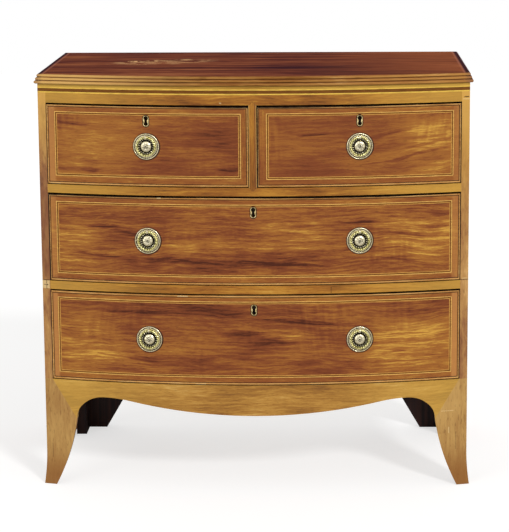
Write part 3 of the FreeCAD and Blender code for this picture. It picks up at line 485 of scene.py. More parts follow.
class Surface:
    """A material under way: its shader, the place of each point and the colour so far."""

    RAGGED_SCALE = 420.0
    RAGGED_REACH = 3.0 * MM
    RAGGED_ENDS = (0.5 * MM, -0.2 * MM)

    def __init__(self, name: str, colour: Wire | Rgba = (0.0, 0.0, 0.0, 1.0)) -> None:
        """Start the material.

        Args:
            name: its name.
            colour: its colour to start with.
        """
        self.material = bpy.data.materials.new(name)
        self.material.use_nodes = True
        self.material.node_tree.nodes.clear()
        self.g = Graph(self.material.node_tree)
        self.shader = self.g.node("ShaderNodeBsdfPrincipled")
        self.out = self.g.node("ShaderNodeOutputMaterial", {"Surface": Wire(self.g, self.shader.outputs[0])})
        self.colour = colour
        self.pores: Wire | float = 0.0

    @cached_property
    def place(self) -> Wire:
        """The object's own coordinates."""
        return self.g.wire("ShaderNodeTexCoord", output="Object")

    @cached_property
    def axes(self) -> dict[str, Wire]:
        """The place along each axis."""
        return dict(zip("xyz", self.place.split()))

    @cached_property
    def normal(self) -> list[Wire]:
        """The three values of the face's normal."""
        return self.g.wire("ShaderNodeNewGeometry", output="True Normal").split()

    def lay(self, *coats: tuple[Wire, Coat]) -> None:
        """Lay coats over the colour, each with the measure that it goes by."""
        for measure, coat in coats:
            self.colour = self.g.blend(coat.mask(measure), self.colour, linear(coat.colour))

    def scar(self, marks: Iterable[Mark]) -> None:
        """Lay scars with ragged edges over the colour.

        Args:
            marks: the scars.
        """
        ragged = (self.g.noise(self.place, self.RAGGED_SCALE, 2.0) - 0.5) * self.RAGGED_REACH
        for mark in marks:
            outside = self.axes["x"].beyond(mark.x0 * MM, mark.x1 * MM).most(
                self.axes["z"].beyond(mark.z0 * MM, mark.z1 * MM))
            self.lay((outside + ragged, Coat(mark.colour, mark.strength, *self.RAGGED_ENDS)))

    def shade(self, inputs: dict) -> Material:
        """Feed the shader its colour and these inputs, and give the material."""
        self.g.feed(self.shader, {"Base Color": self.colour, **inputs})
        return self.material


Change = Callable[[Surface], None]

BRASSES = (Brass("plate brass", (255, 246, 214), (190, 178, 140)),
           Brass("ring brass", (255, 248, 186), (182, 170, 84), (92, 84, 28)),
           Brass("escutcheon brass", (255, 238, 180), (236, 206, 136), (58, 34, 16)))
LINES = (("boxwood", (226, 176, 96), 0.4), ("brown line", (112, 64, 22), 0.45),
         ("dark line", (120, 75, 31), 0.45), ("tawny line", (208, 154, 78), 0.45),
         ("bright line", (232, 190, 84), 0.45))


@dataclass
class Palette:
    """Makes the materials from the finishes."""

    effects: Effects = field(default_factory=Effects)
    made: dict[str, Material] = field(default_factory=dict)
    # the colour of painted corner shade mixed with dust
    grime: Coat = Coat((38, 20, 12))
    wear_reach: float = 1.2 * MM
    grime_and_shade_reach: float = 5 * MM
    pore_depth: float = 0.1 * MM
    pore_strength: float = 0.25
    pore_roughness: float = 0.12
    upward: Pair = (0.7, 0.9)
    coat_roughness: float = 0.3
    mottle_scale: float = 420.0
    mottle_ends: Pair = (0.3, 0.7)
    dirt_mottle: float = 0.5
    dirt_ends: Pair = (0.2, 0.85)
    dirt_roughness: float = 0.4
    brass_specular: float = 0.1
    plain_scales: Triple = (60.0, 60.0, 400.0)
    plain_ends: Pair = (0.35, 0.7)
    plain_dark: float = 0.72

    def __post_init__(self) -> None:
        """Make the brasses and the line woods that several pieces share."""
        for colour in LINES:
            self.plain(*colour)
        for brass in BRASSES:
            self.brass(brass)

    def figure(self, s: Surface, timber: Timber) -> dict[str, Wire]:
        """Place the figure of a timber.

        Args:
            s: the surface.
            timber: the wood.

        Returns:
            The figure's tone, pores and drifted place.
        """
        inputs = {"Place": s.g.join(*(s.axes[axis] for axis in timber.grain.value))}
        inputs.update(zip(("Along", "Across", "Depth"), timber.stretch))
        for name in ("Seed", "Wave", "Streaks", "Patches", "Fine", "Ripple", "Lift"):
            inputs[name] = getattr(timber, name.lower())
        return s.g.group(self.effects.figure, inputs)

    def stained(self, s: Surface, timber: Timber, tone: Wire) -> Wire:
        """The colour of a timber at a tone.

        Args:
            s: the surface.
            timber: the wood.
            tone: the tone.

        Returns:
            The colour.
        """
        inputs = {"Tone": tone, "Pores": s.pores, "Pore Strength": timber.pores}
        inputs.update(zip(("Deep", "Red", "Amber", "Gold"), map(linear, timber.tones)))
        return s.g.group(self.effects.stain, inputs)["Colour"]

    def wood(self, s: Surface, timber: Timber) -> Wire:
        """The colour of another wood on the same surface."""
        return self.stained(s, timber, self.figure(s, timber)["Tone"])

    def cloud(self, s: Surface, place: Wire, cloud: Cloud) -> Wire:
        """How much a cloud adds to the tone.

        Args:
            s: the surface.
            place: the place along X and Z, as the first two values.
            cloud: the cloud.

        Returns:
            The amount.
        """
        inputs = {"Place": place, "Centre X": cloud.x * MM, "Centre Z": cloud.z * MM,
                  "Reach X": cloud.reach_x * MM, "Reach Z": cloud.reach_z * MM,
                  "Slope": math.tan(math.radians(cloud.tilt)), "Amount": cloud.amount}
        return s.g.group(self.effects.cloud, inputs)["Value"]

    def timber(self, timber: Timber, change: Change | None = None, clouds: Iterable[Cloud] = ()) -> Material:
        """Make a wood's material.

        Args:
            timber: the wood.
            change: changes the surface's colour.
            clouds: patches of figure.

        Returns:
            The material.
        """
        s = Surface(timber.name)
        figure = self.figure(s, timber)
        tone = figure["Tone"]
        for cloud in clouds:
            tone = tone + self.cloud(s, figure["Drifted"], cloud)
        s.pores = figure["Pores"]
        s.colour = self.stained(s, timber, tone)
        if change:
            change(s)
        # Rubbed wear along the arrises, then painted shade in the corners mixed with dust.
        worn, grime = (s.g.group(tree, {"Place": s.place, "Reach": reach})["Mask"] for tree, reach in
                       ((self.effects.wear, self.wear_reach), (self.effects.grime, self.grime_and_shade_reach)))
        s.lay((worn, Coat(timber.tones[3], timber.wear)), (grime, replace(self.grime, share=timber.grime)))
        sheen = timber.roughness + s.pores * self.pore_roughness
        if timber.top_roughness:
            sheen = sheen.most(s.normal[2].span(*self.upward) * timber.top_roughness)
        bump = s.g.wire("ShaderNodeBump", {"Height": s.pores * -1.0, "Strength": self.pore_strength,
                                           "Distance": self.pore_depth})
        return s.shade({"Roughness": sheen, "Specular IOR Level": timber.specular, "Normal": bump,
                        "Coat Weight": timber.polish, "Coat Roughness": self.coat_roughness})

    def brass(self, brass: Brass) -> None:
        """Make a brass. It reads how deep each point lies from the mesh's recess attribute.

        Args:
            brass: the brass.
        """
        s = Surface(brass.name)
        recess = s.g.wire("ShaderNodeAttribute", output="Fac", attribute_name="recess")
        mottle = s.g.noise(s.place, self.mottle_scale, 3.0, 0.65).span(*self.mottle_ends)
        dirt = (recess + (mottle - 0.5) * self.dirt_mottle).span(*self.dirt_ends)
        s.colour = s.g.blend(mottle, linear(brass.bright), linear(brass.dull))
        s.lay((dirt, Coat(brass.dirt)))
        self.made[brass.name] = s.shade({"Metallic": 1.0 - dirt, "Specular IOR Level": self.brass_specular,
                                         "Roughness": brass.roughness + dirt * self.dirt_roughness})

    def plain(self, name: str, colour: Rgb, roughness: float, specular: float = 0.06) -> Material:
        """Make a material of one colour, a little uneven.

        Args:
            name: the material's name.
            colour: its colour.
            roughness: how dull it is.
            specular: its specular level.

        Returns:
            The material.
        """
        s = Surface(name)
        stretched = (place * scale for place, scale in zip(s.axes.values(), self.plain_scales))
        grain = s.g.noise(s.g.join(*stretched), 1.0, 2.0)
        red, green, blue, _ = (self.plain_dark * part for part in linear(colour))
        s.colour = s.g.blend(grain.span(*self.plain_ends), linear(colour), (red, green, blue, 1.0))
        self.made[name] = s.shade({"Roughness": roughness, "Specular IOR Level": specular})
        return self.made[name]


# ------------------------------------------------------------------ places on the bow
@dataclass(frozen=True)
class BowPlan:
    """The bowed front in plan: a round arc about an upright axis."""

    radius: float
    axis_y: float

    @classmethod
    def from_frame(cls) -> "BowPlan":
        """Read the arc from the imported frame.

        Returns:
            The plan.
        """
        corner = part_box("side_right")[0]
        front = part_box("rail_upper")[0].y
        rise = corner.y - front
        radius = (corner.x * corner.x + rise * rise) / (2 * rise)
        log.info("bow: rise %.4f over %.4f", rise, corner.x)
        return cls(radius, front + radius)

    def at(self, x: float, z: float, out: float = 0.0) -> Vector:
        """A point of the front.

        Args:
            x: how far from the middle, along X.
            z: the height.
            out: how far before the surface.

        Returns:
            The point.
        """
        turn = math.asin(x / self.radius)
        reach = self.radius + out
        return Vector((reach * math.sin(turn), self.axis_y - reach * math.cos(turn), z))

    def facing(self, x: float, z: float) -> Matrix:
        """A frame on the front: local X along it, local Y up and local Z out of it.

        Args:
            x: where it stands, along X.
            z: the height.

        Returns:
            The frame.
        """
        turn = math.asin(x / self.radius)
        along = (math.cos(turn), math.sin(turn), 0.0)
        out = (math.sin(turn), -math.cos(turn), 0.0)
        rows = list(zip(along, (0.0, 0.0, 1.0), out, self.at(x, z)))
        return Matrix(rows + [(0.0, 0.0, 0.0, 1.0)])


class Shell:
    """Collects the vertices and faces of one piece, and how deep in a recess each vertex lies."""

    def __init__(self) -> None:
        """Start empty."""
        self.points: list[Vector] = []
        self.faces: list[tuple[int, ...]] = []
        self.recess: list[float] = []

    def sheet(self, rows: Sequence[Sequence[Vector]], depths: Sequence[Sequence[float]] | None = None,
              round_rows: bool = False) -> None:
        """Add a grid of points whose last column meets the first.

        Args:
            rows: the points, row by row.
            depths: how deep each of them lies, from 0 to 1.
            round_rows: the last row meets the first.
        """
        start, wide, tall = len(self.points), len(rows[0]), len(rows)
        for i, row in enumerate(rows):
            self.points += row
            self.recess += depths[i] if depths else [0.0] * wide
        for i in range(tall if round_rows else tall - 1):
            here, there = start + i * wide, start + (i + 1) % tall * wide
            for j in range(wide):
                after = (j + 1) % wide
                self.faces.append((here + j, here + after, there + after, there + j))

    def cap(self, points: Sequence[Vector]) -> None:
        """Add one flat face.

        Args:
            points: its corners, in order.
        """
        self.faces.append(tuple(range(len(self.points), len(self.points) + len(points))))
        self.points += points
        self.recess += [0.0] * len(points)

    def bar(self, a: Sequence[Vector], b: Sequence[Vector]) -> None:
        """Add a closed bar.

        Args:
            a: the section at one end.
            b: the matching section at the other.
        """
        self.sheet([a, b])
        self.cap(a)
        self.cap(b)

    def build(self, name: str, material: Material, smooth: float = 35.0) -> Thing:
        """Make the object.

        Args:
            name: the piece's name.
            material: its finish.
            smooth: edges sharper than this many degrees stay sharp.

        Returns:
            The object, linked to the scene.
        """
        mesh = bpy.data.meshes.new(name)
        mesh.from_pydata([tuple(point) for point in self.points], [], self.faces)
        mesh.attributes.new("recess", "FLOAT", "POINT").data.foreach_set("value", self.recess)
        return place_mesh(name, mesh, material, smooth)


def linked(name: str, data: bpy.types.ID) -> Thing:
    """Put a new object in the scene.

    Args:
        name: its name.
        data: its mesh, curve, light or camera.

    Returns:
        The object.
    """
    made = bpy.data.objects.new(name, data)
    bpy.context.scene.collection.objects.link(made)
    return made


def place_mesh(name: str, mesh: Mesh, material: Material, smooth: float) -> Thing:
    """Weld a mesh, turn its faces outwards and put it in the scene.

    Args:
        name: the piece's name.
        mesh: its mesh.
        material: its finish.
        smooth: edges sharper than this many degrees stay sharp.

    Returns:
        The object.
    """
    work = bmesh.new()
    work.from_mesh(mesh)
    bmesh.ops.remove_doubles(work, verts=work.verts, dist=WELD_REACH)
    bmesh.ops.dissolve_degenerate(work, edges=work.edges, dist=SCRAP_REACH)
    bmesh.ops.recalc_face_normals(work, faces=work.faces)
    work.to_mesh(mesh)
    work.free()
    mesh.shade_smooth()
    mesh.set_sharp_from_angle(angle=math.radians(smooth))
    mesh.materials.clear()
    mesh.materials.append(material)
    return linked(name, mesh)


def mounted(piece: Thing, body: str, node: str | None = None) -> None:
    """Let a piece ride on a body and report it.

    Args:
        piece: the piece.
        body: the CAD body that carries it.
        node: the CAD node that it replaces, if it does.
    """
    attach(piece, body)
    if node:
        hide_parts(node)
    log.info("%s rides on %s with %d faces", piece.name, body, len(piece.data.polygons))


# ------------------------------------------------------------------ inlaid lines
@dataclass
class Inlay:
    """Thin lines of light and dark wood let into the bowed front.

    The edges of a line or a rectangle are its left, right, lower and upper ones.
    """

    plan: BowPlan
    proud: float = 0.12 * MM
    sunk: float = 0.5 * MM
    step: float = 20 * MM

    def level(self, shell: Shell, edges: Edges) -> None:
        """Add a line that runs level along the bow.

        Args:
            shell: the piece it goes into.
            edges: its edges.
        """
        x0, x1, z0, z1 = edges
        count = max(2, round((x1 - x0) / self.step))
        corners = ((z0, -self.sunk), (z0, self.proud), (z1, self.proud), (z1, -self.sunk))
        rows = [[self.plan.at(x0 + (x1 - x0) * k / count, z, out) for z, out in corners]
                for k in range(count + 1)]
        shell.sheet(rows)
        shell.cap(rows[0])
        shell.cap(rows[-1])

    def upright(self, shell: Shell, edges: Edges) -> None:
        """Add a line that stands upright.

        Args:
            shell: the piece it goes into.
            edges: its edges.
        """
        x0, x1, z0, z1 = edges
        corners = ((x0, -self.sunk), (x0, self.proud), (x1, self.proud), (x1, -self.sunk))
        shell.bar(*([self.plan.at(x, z, out) for x, out in corners] for z in (z0, z1)))

    def frame(self, shell: Shell, edges: Edges, width: float, gap: Pair | None) -> None:
        """Add a rectangle of line.

        Args:
            shell: the piece it goes into.
            edges: its outer edges.
            width: the line's width.
            gap: where the upper line stops and goes on, if it does.
        """
        x0, x1, z0, z1 = edges
        self.level(shell, (x0, x1, z0, z0 + width))
        for a, b in ((x0, gap[0]), (gap[1], x1)) if gap else ((x0, x1),):
            self.level(shell, (a, b, z1 - width, z1))
        for a, b in ((x0, x0 + width), (x1 - width, x1)):
            self.upright(shell, (a, b, z0 + width, z1 - width))


# ------------------------------------------------------------------ brasses
def spot(frame: Matrix, right: float, up: float, out: float) -> Vector:
    """A point of a brass in the row frame, from millimetres on the drawer front."""
    return frame @ Vector((right * MM, up * MM, out * MM))


def turns(count: int) -> list[float]:
    """Even angles round a circle."""
    return [FULL_TURN * k / count for k in range(count)]


@dataclass
class RingPull:
    """A round stamped plate, its boss, its eye and the ring that hangs in it. Sizes in millimetres.

    Each row of the profile is a radius of the plate, its height and how deep it lies, from 0 to 1.
    A band is the two radii that a pattern lies between.
    """

    steps: int = 192
    beads: int = 36
    bead_band: Pair = (24.2, 26.5)
    bead_depth: float = 0.4
    bead_clean: float = 0.15
    flutes: int = 20
    flute_band: Pair = (12.1, 16.8)
    flute_depth: float = 1.2
    flute_width: Pair = (2.5, -0.2)
    flute_edge: float = 3.0
    petals: int = 8
    petal_band: Pair = (5.2, 11.9)
    petal_depth: float = 0.25
    petal_twist: float = 0.25
    petal_dirt: float = 0.36
    leaves: int = 24
    leaf_depth: float = 0.5
    leaf_lean: float = 2.2
    leaf_dirt: float = 0.7
    leaf_clean: float = 0.14
    vein_depth: float = 0.14
    vein_lean: float = 2.0
    vein_dirt: float = 0.25
    ray_inward: float = 0.3
    ray_width: Pair = (0.9, 2.2)
    neck_dirt: float = 0.5
    ring_radius: float = 19.75
    ring_section: float = 2.95
    ring_sides: int = 18
    cad_section: float = 3.0
    ring_height: float = 4.5
    neck_radius: float = 2.25
    neck_half: float = 2.6
    eye_radius: float = 4.1
    eye_half: float = 1.95
    eye_sides: int = 20
    eye_end: float = 0.82
    eye_dirt: float = 0.15
    stalk_half: float = 3.4
    stalk_foot: float = 0.6
    post_radius: float = 2.6
    post_sides: int = 16
    front_thickness: float = 22.0
    nut_radius: float = 6.0
    nut_height: float = 4.0
    nut_sides: int = 6

    PROFILE = ((28.3, 0.0, 0.5), (28.3, 0.8, 0.1), (28.1, 1.6, 0.0), (27.5, 2.3, 0.0), (26.8, 2.55, 0.0),
               (26.2, 2.3, 0.0), (25.8, 1.8, 0.1), (25.2, 1.3, 0.7), (24.5, 1.1, 0.95), (23.9, 1.15, 0.5),
               (23.4, 1.2, 0.1), (22.6, 1.25, 0.1), (20.0, 1.2, 0.2), (17.6, 1.3, 0.4), (17.0, 1.6, 0.4),
               (16.3, 2.0, 0.1), (15.5, 2.5, 0.1), (14.6, 2.7, 0.1), (13.8, 2.6, 0.2), (13.1, 2.2, 0.6),
               (12.6, 1.7, 1.0), (12.15, 1.6, 1.0), (12.0, 2.2, 0.9), (11.6, 3.2, 0.3), (10.8, 4.1, 0.0),
               (9.6, 4.8, 0.0), (8.2, 5.3, 0.05), (6.8, 5.55, 0.15), (5.4, 5.6, 0.3), (4.9, 5.35, 0.65),
               (4.4, 5.35, 0.65), (3.8, 5.7, 0.5), (2.6, 6.0, 0.5), (1.3, 6.1, 0.75), (0.0, 6.15, 0.75))

    def worked(self, radius: float, height: float, turn: float, deep: float) -> Pair:
        """Work the beads, the flutes and the rosette into the plate.

        Args:
            radius: how far from the middle.
            height: the plain height there.
            turn: the angle round the plate.
            deep: how deep that ring of the plate lies, from 0 to 1.

        Returns:
            The worked height, and how deep the point lies, from 0 to 1.
        """
        inner, outer = self.flute_band
        if self.bead_band[0] < radius < self.bead_band[1]:
            wave = 0.5 - 0.5 * math.cos(self.beads * turn)
            return height - self.bead_depth * wave, min(1.0, deep + 0.5 * wave - self.bead_clean)
        if inner < radius < outer:
            wide, narrow = self.flute_width
            notch = self.notch(turn, wide + (narrow - wide) * (radius - inner) / (outer - inner))
            return height - self.flute_depth * notch, notch
        if self.petal_band[0] < radius < self.petal_band[1]:
            petal = 0.5 - 0.5 * math.cos(self.petals * turn + self.petal_twist * (radius - 5))
            return height - self.petal_depth * petal, max(deep, self.petal_dirt * petal)
        return height, deep

    def notch(self, turn: float, wide: float) -> float:
        """How deep a flute is at an angle, from 0 to 1; the wider, the less stands between two."""
        return min(1.0, max(0.0, (math.cos(self.flutes * turn) + wide) * self.flute_edge))

    def plate(self, shell: Shell, frame: Matrix) -> None:
        """Add the plate, the eye, the post and its nut.

        Args:
            shell: the piece they go into.
            frame: the plate's place on the front.
        """
        rows, depths = [], []
        for radius, height, deep in self.PROFILE:
            lifts = [self.worked(radius, height, turn, deep) for turn in turns(self.steps)]
            rows.append([spot(frame, radius * math.cos(turn), radius * math.sin(turn), lifted)
                         for turn, (lifted, _) in zip(turns(self.steps), lifts)])
            depths.append([depth for _, depth in lifts])
        shell.sheet(rows, depths)
        shell.cap(rows[0])
        back = -self.front_thickness - self.nut_height
        self.rod(shell, frame, self.post_radius, (0.0, back), self.post_sides)
        self.rod(shell, frame, self.nut_radius, (-self.front_thickness, back), self.nut_sides)
        self.eye(shell, frame)

    def rod(self, shell: Shell, frame: Matrix, radius: float, ends: Pair, sides: int) -> None:
        """Add a rod along the post."""
        shell.bar(*([spot(frame, radius * math.cos(a), radius * math.sin(a), out) for a in turns(sides)]
                    for out in ends))

    def eye(self, shell: Shell, frame: Matrix) -> None:
        """Add the eye that carries the ring, rounded at both ends, and its stalk.

        Args:
            shell: the piece it goes into.
            frame: the plate's place on the front.
        """
        rows = []
        for along, share in ((-1.0, self.eye_end), (-0.8, 1.0), (0.8, 1.0), (1.0, self.eye_end)):
            reach = share * self.eye_radius
            rows.append([spot(frame, along * self.eye_half, self.ring_radius + reach * math.sin(turn),
                              self.ring_height + reach * math.cos(turn)) for turn in turns(self.eye_sides)])
        shell.sheet(rows, [[self.eye_dirt] * self.eye_sides] * len(rows))
        shell.cap(rows[0])
        shell.cap(rows[-1])
        corners = ((-1, -1), (1, -1), (1, 1), (-1, 1))
        shell.bar(*([spot(frame, a * self.eye_half, self.ring_radius + b * self.stalk_half, out)
                     for a, b in corners] for out in (self.stalk_foot, self.ring_height)))

    def leafy(self, turn: float, around: float) -> Pair:
        """Work leaves, veins and rays into the ring.

        Args:
            turn: the angle round the ring.
            around: the angle round its section, from the outside.

        Returns:
            The section's radius, and how deep the point lies, from 0 to 1.
        """
        if abs(math.sin((turn - math.pi / 2) / 2)) * 2 * self.ring_radius < self.neck_half:
            return self.neck_radius, self.neck_dirt
        leaf = 0.5 + 0.5 * math.cos(self.leaves * turn + self.leaf_lean * math.cos(around))
        vein = 0.5 + 0.5 * math.cos(2 * self.leaves * turn - self.vein_lean * around)
        inner = -math.cos(around)
        widest, narrowing = self.ray_width
        rays = self.notch(turn, widest - narrowing * (1.0 - inner)) if inner > self.ray_inward else 0.0
        return (self.ring_section - self.leaf_depth * leaf - self.vein_depth * vein,
                max(rays, self.leaf_dirt * leaf + self.vein_dirt * vein - self.leaf_clean, 0.0))

    def ring(self, shell: Shell, frame: Matrix) -> None:
        """Add the ring, worked with leaves, with a plain neck where it hangs in the eye.

        Args:
            shell: the piece it goes into.
            frame: the plate's place on the front.
        """
        rows, depths = [], []
        for turn in turns(self.steps):
            section = [(around, *self.leafy(turn, around)) for around in turns(self.ring_sides)]
            rows.append([])
            for around, thick, _ in section:
                reach = self.ring_radius + thick * math.cos(around)
                rows[-1].append(spot(frame, reach * math.cos(turn), reach * math.sin(turn),
                                     self.ring_height + thick * math.sin(around)))
            depths.append([deep for _, _, deep in section])
        shell.sheet(rows, depths, round_rows=True)


@dataclass
class KeyholePlate:
    """A brass lining round a keyhole. Sizes in millimetres."""

    width: float = 13.6
    height: float = 25.8
    hole_radius: float = 4.9
    hole_height: float = 21.4
    slot: float = 5.8
    foot: float = 9.0
    dark_edge: float = 0.9
    thickness: float = 2.0
    proud: float = 0.45
    rounding: float = 0.35
    rounding_steps: int = 3

    def arc(self, y: float, radius: float, start: float, end: float, count: int = 14) -> list[Pair]:
        """Points of an arc about (0, y), by degrees."""
        angles = [math.radians(start + (end - start) * k / count) for k in range(count + 1)]
        return [(radius * math.cos(a), y + radius * math.sin(a)) for a in angles]

    def outline(self, ease: float) -> list[Pair]:
        """The outer outline, drawn in by ease."""
        radius, reach = self.width / 2 - ease, (self.height - self.width) / 2
        return self.arc(reach, radius, 0, 180) + self.arc(-reach, radius, 180, 360)

    def hole(self, ease: float) -> list[Pair]:
        """The keyhole's outline: a round head, a waist and a wider foot.

        Args:
            ease: how far it is widened.

        Returns:
            Its points.
        """
        half, radius, wide = self.slot / 2 + ease, self.hole_radius + ease, self.foot / 2 + ease
        head = self.hole_height / 2 - self.hole_radius
        foot = self.foot / 2 - self.hole_height / 2
        neck, heel = (math.degrees(math.asin(half / round_part)) for round_part in (radius, wide))
        return (self.arc(head, radius, neck - 90, 270 - neck, 20)
                + self.arc(foot, wide, 90 + heel, 450 - heel, 20))

    def mesh(self, frame: Matrix) -> Mesh:
        """Make the lining as a flat ring with rounded arrises.

        Args:
            frame: its place on the front.

        Returns:
            The mesh.
        """
        curve = bpy.data.curves.new("keyhole lining", "CURVE")
        curve.dimensions, curve.fill_mode = "2D", "BOTH"
        curve.extrude = (self.thickness + self.proud) / 2 * MM - self.rounding * MM
        curve.bevel_depth, curve.bevel_resolution = self.rounding * MM, self.rounding_steps
        for points in (self.outline(self.rounding), self.hole(self.rounding)):
            spline = curve.splines.new("POLY")
            spline.points.add(len(points) - 1)
            for point, (x, y) in zip(spline.points, points):
                point.co = (x * MM, y * MM, 0.0, 1.0)
            spline.use_cyclic_u = True
        holder = linked("keyhole lining", curve)
        bpy.context.view_layer.update()
        mesh = bpy.data.meshes.new_from_object(holder.evaluated_get(bpy.context.evaluated_depsgraph_get()))
        bpy.data.objects.remove(holder)
        bpy.data.curves.remove(curve)
        reach = (self.height - self.width) / 2 * MM
        rim = (self.width / 2 - self.dark_edge) * MM
        recess = mesh.attributes.new("recess", "FLOAT", "POINT")
        for vertex, deep in zip(mesh.vertices, recess.data):
            away = math.hypot(vertex.co.x, max(0.0, abs(vertex.co.y) - reach))
            deep.value = 1.0 if away > rim else 0.0
        mesh.transform(frame @ Matrix.Translation((0.0, 0.0, (self.proud - self.thickness) / 2 * MM)))
        return mesh


# ------------------------------------------------------------------ the finishes of this chest
MAHOGANY = ((76, 33, 17), (124, 64, 33), (158, 99, 42), (208, 157, 66))
RAIL = ((104, 60, 26), (150, 94, 36), (180, 124, 46), (212, 166, 78))
REED = ((104, 64, 30), (140, 92, 44), (166, 118, 60), (204, 162, 100))
APRON = ((122, 80, 40), (158, 110, 48), (182, 134, 62), (208, 168, 96))
STILE = ((104, 66, 44), (148, 100, 62), (176, 130, 76), (204, 160, 100))
FOOT = ((128, 88, 48), (164, 122, 68), (188, 148, 86), (208, 172, 110))
TOP = ((40, 17, 30), (90, 42, 35), (126, 67, 45), (168, 104, 66))
BEAD = ((136, 84, 40), (178, 124, 62), (206, 156, 90), (226, 188, 128))
LIGHT_BAND = ((146, 102, 38), (170, 124, 48), (190, 148, 62), (216, 176, 88))
CARCASS = ((104, 54, 30), (128, 74, 38), (150, 94, 50), (176, 120, 70))
OAK = ((132, 98, 62), (168, 132, 88), (190, 156, 108), (208, 178, 132))
PINE = ((92, 64, 40), (140, 102, 64), (168, 130, 86), (190, 156, 110))

# Each row is a Cloud.
CLOUDS: dict[str, tuple[tuple[float, ...], ...]] = {
    "top_left": (
        (-385, 760, 66, 74, 0, 0.1), (-335, 812, 84, 16, 0, 0.11), (-335, 727, 90, 16, 0, 0.08),
        (-360, 755, 100, 66, 0, 0.08), (-350, 792, 84, 5, -3, 0.12), (-340, 750, 104, 5, 0, 0.08),
        (-300, 702, 130, 6, 0, 0.16), (-330, 736, 110, 6, 0, -0.08), (-395, 813, 50, 4, -3, -0.24),
        (-410, 718, 40, 5, 0, -0.22), (-355, 716, 20, 4, 0, -0.26), (-95, 760, 110, 84, 0, -0.1),
        (-48, 714, 30, 5, 0, -0.34), (-100, 795, 42, 8, 0, -0.12), (-150, 738, 60, 5, 0, -0.1)),
    "top_right": (
        (400, 765, 62, 78, 0, 0.1), (345, 782, 84, 22, 4, 0.16), (345, 726, 84, 18, 4, -0.08),
        (345, 754, 92, 9, 9, 0.24), (320, 737, 66, 8, 9, 0.18), (400, 777, 56, 8, 12, 0.16),
        (400, 798, 56, 12, 10, 0.12), (395, 714, 60, 11, 8, 0.17), (425, 750, 30, 30, 0, 0.1),
        (292, 786, 46, 5, 10, -0.22), (330, 738, 90, 3, 10, -0.26), (385, 765, 60, 3, 10, -0.22),
        (120, 760, 140, 76, 0, -0.07), (128, 788, 30, 3, 4, -0.36), (405, 822, 60, 6, 6, -0.14)),
    "middle": (
        (345, 524, 84, 24, 0, 0.15), (350, 610, 76, 18, 0, -0.08), (-345, 612, 84, 20, 0, -0.12),
        (-400, 560, 58, 74, 0, 0.16), (-40, 520, 110, 30, 0, -0.1), (400, 560, 60, 74, 0, 0.1),
        (-370, 576, 70, 22, 0, 0.2), (-95, 546, 120, 14, 0, 0.18), (-335, 540, 90, 8, 2, 0.12),
        (-324, 592, 42, 4, -3, -0.4), (-270, 580, 32, 8, -5, -0.24), (-345, 530, 46, 4, -5, -0.26),
        (-130, 514, 160, 8, -3, -0.24), (-50, 496, 70, 9, 0, -0.16), (-150, 608, 200, 12, 0, -0.06),
        (85, 560, 100, 30, 0, 0.14), (20, 545, 28, 14, 0, 0.12), (70, 509, 80, 4, -4, -0.4),
        (222, 594, 44, 3, -3, -0.36), (345, 576, 100, 48, 0, 0.16), (330, 566, 45, 4, -3, -0.26),
        (392, 583, 38, 4, 0, -0.3), (320, 508, 54, 4, -5, -0.26), (410, 612, 30, 4, 0, -0.2)),
    "bottom": (
        (350, 325, 100, 80, 0, 0.08), (-390, 318, 90, 74, 0, 0.15), (-290, 286, 130, 20, -2, 0.1),
        (370, 312, 120, 66, 0, 0.1), (-50, 345, 130, 66, 0, -0.1), (-150, 402, 300, 22, 0, -0.08),
        (-230, 408, 210, 14, -2, -0.14), (-245, 396, 80, 5, 0, -0.22), (-30, 352, 38, 10, 0, -0.18),
        (-355, 325, 90, 50, 0, 0.17), (-243, 297, 34, 6, -5, -0.3), (-130, 284, 100, 14, -4, -0.13),
        (-110, 320, 120, 12, 0, 0.12), (70, 352, 58, 14, -5, 0.28), (95, 381, 90, 5, -3, -0.34),
        (40, 330, 44, 8, 0, -0.14), (345, 325, 100, 58, 0, 0.16), (316, 312, 16, 2, 5, -0.3),
        (170, 285, 90, 18, 0, -0.08), (330, 398, 100, 8, 0, -0.1)),
    "rails": (
        (20, 862, 230, 16, 0, -0.2), (-330, 452, 150, 14, 0, -0.2), (340, 666, 140, 14, 0, 0.16),
        (330, 452, 140, 14, 0, -0.06)),
    "scratches": ((-215, 45, 100, 50, 14.036, 1.4),),
}

PALE, CRACK = (222, 192, 136), (44, 22, 12)
# Each row is a Mark.
MARKS: dict[str, tuple[tuple, ...]] = {
    "stiles": (
        (-465, -449, 443.5, 461, PALE, 0.75), (-462, -452, 451, 452.2, CRACK), (-456, -455, 443, 462, CRACK),
        (-465, -447, 461.5, 462.6, CRACK), (447, 465, 461.5, 462.8, CRACK), (452, 462, 464, 466, PALE, 0.5),
        (452, 463, 861.6, 863.6, CRACK), (449, 465, 857, 859, PALE, 0.6)),
    "feet": ((408, 436, 168, 169.4, PALE, 0.6), (424, 426, 118, 132, PALE, 0.6),
             (-452, -450, 60, 92, CRACK, 0.3), (440, 441.4, 80, 120, CRACK, 0.35)),
    "rails": ((166, 167.2, 444, 457, CRACK), (-70, -66, 856, 858, PALE, 0.6)),
    "beads": ((-207, -199, 649, 652, PALE, 0.9), (-166, -143, 435.5, 438, PALE, 0.9),
              (-128, -106, 241.5, 243.4, PALE, 0.8), (-440, -418, 677, 679, PALE, 0.6),
              (120, 150, 241.5, 243, PALE, 0.5), (-300, -262, 241.5, 243.2, PALE, 0.5)),
}


def clouds(name: str) -> list[Cloud]:
    """The clouds of a piece."""
    return [Cloud(*row) for row in CLOUDS[name]]


def marks(name: str) -> list[Mark]:
    """The scars of a piece."""
    return [Mark(*row) for row in MARKS[name]]


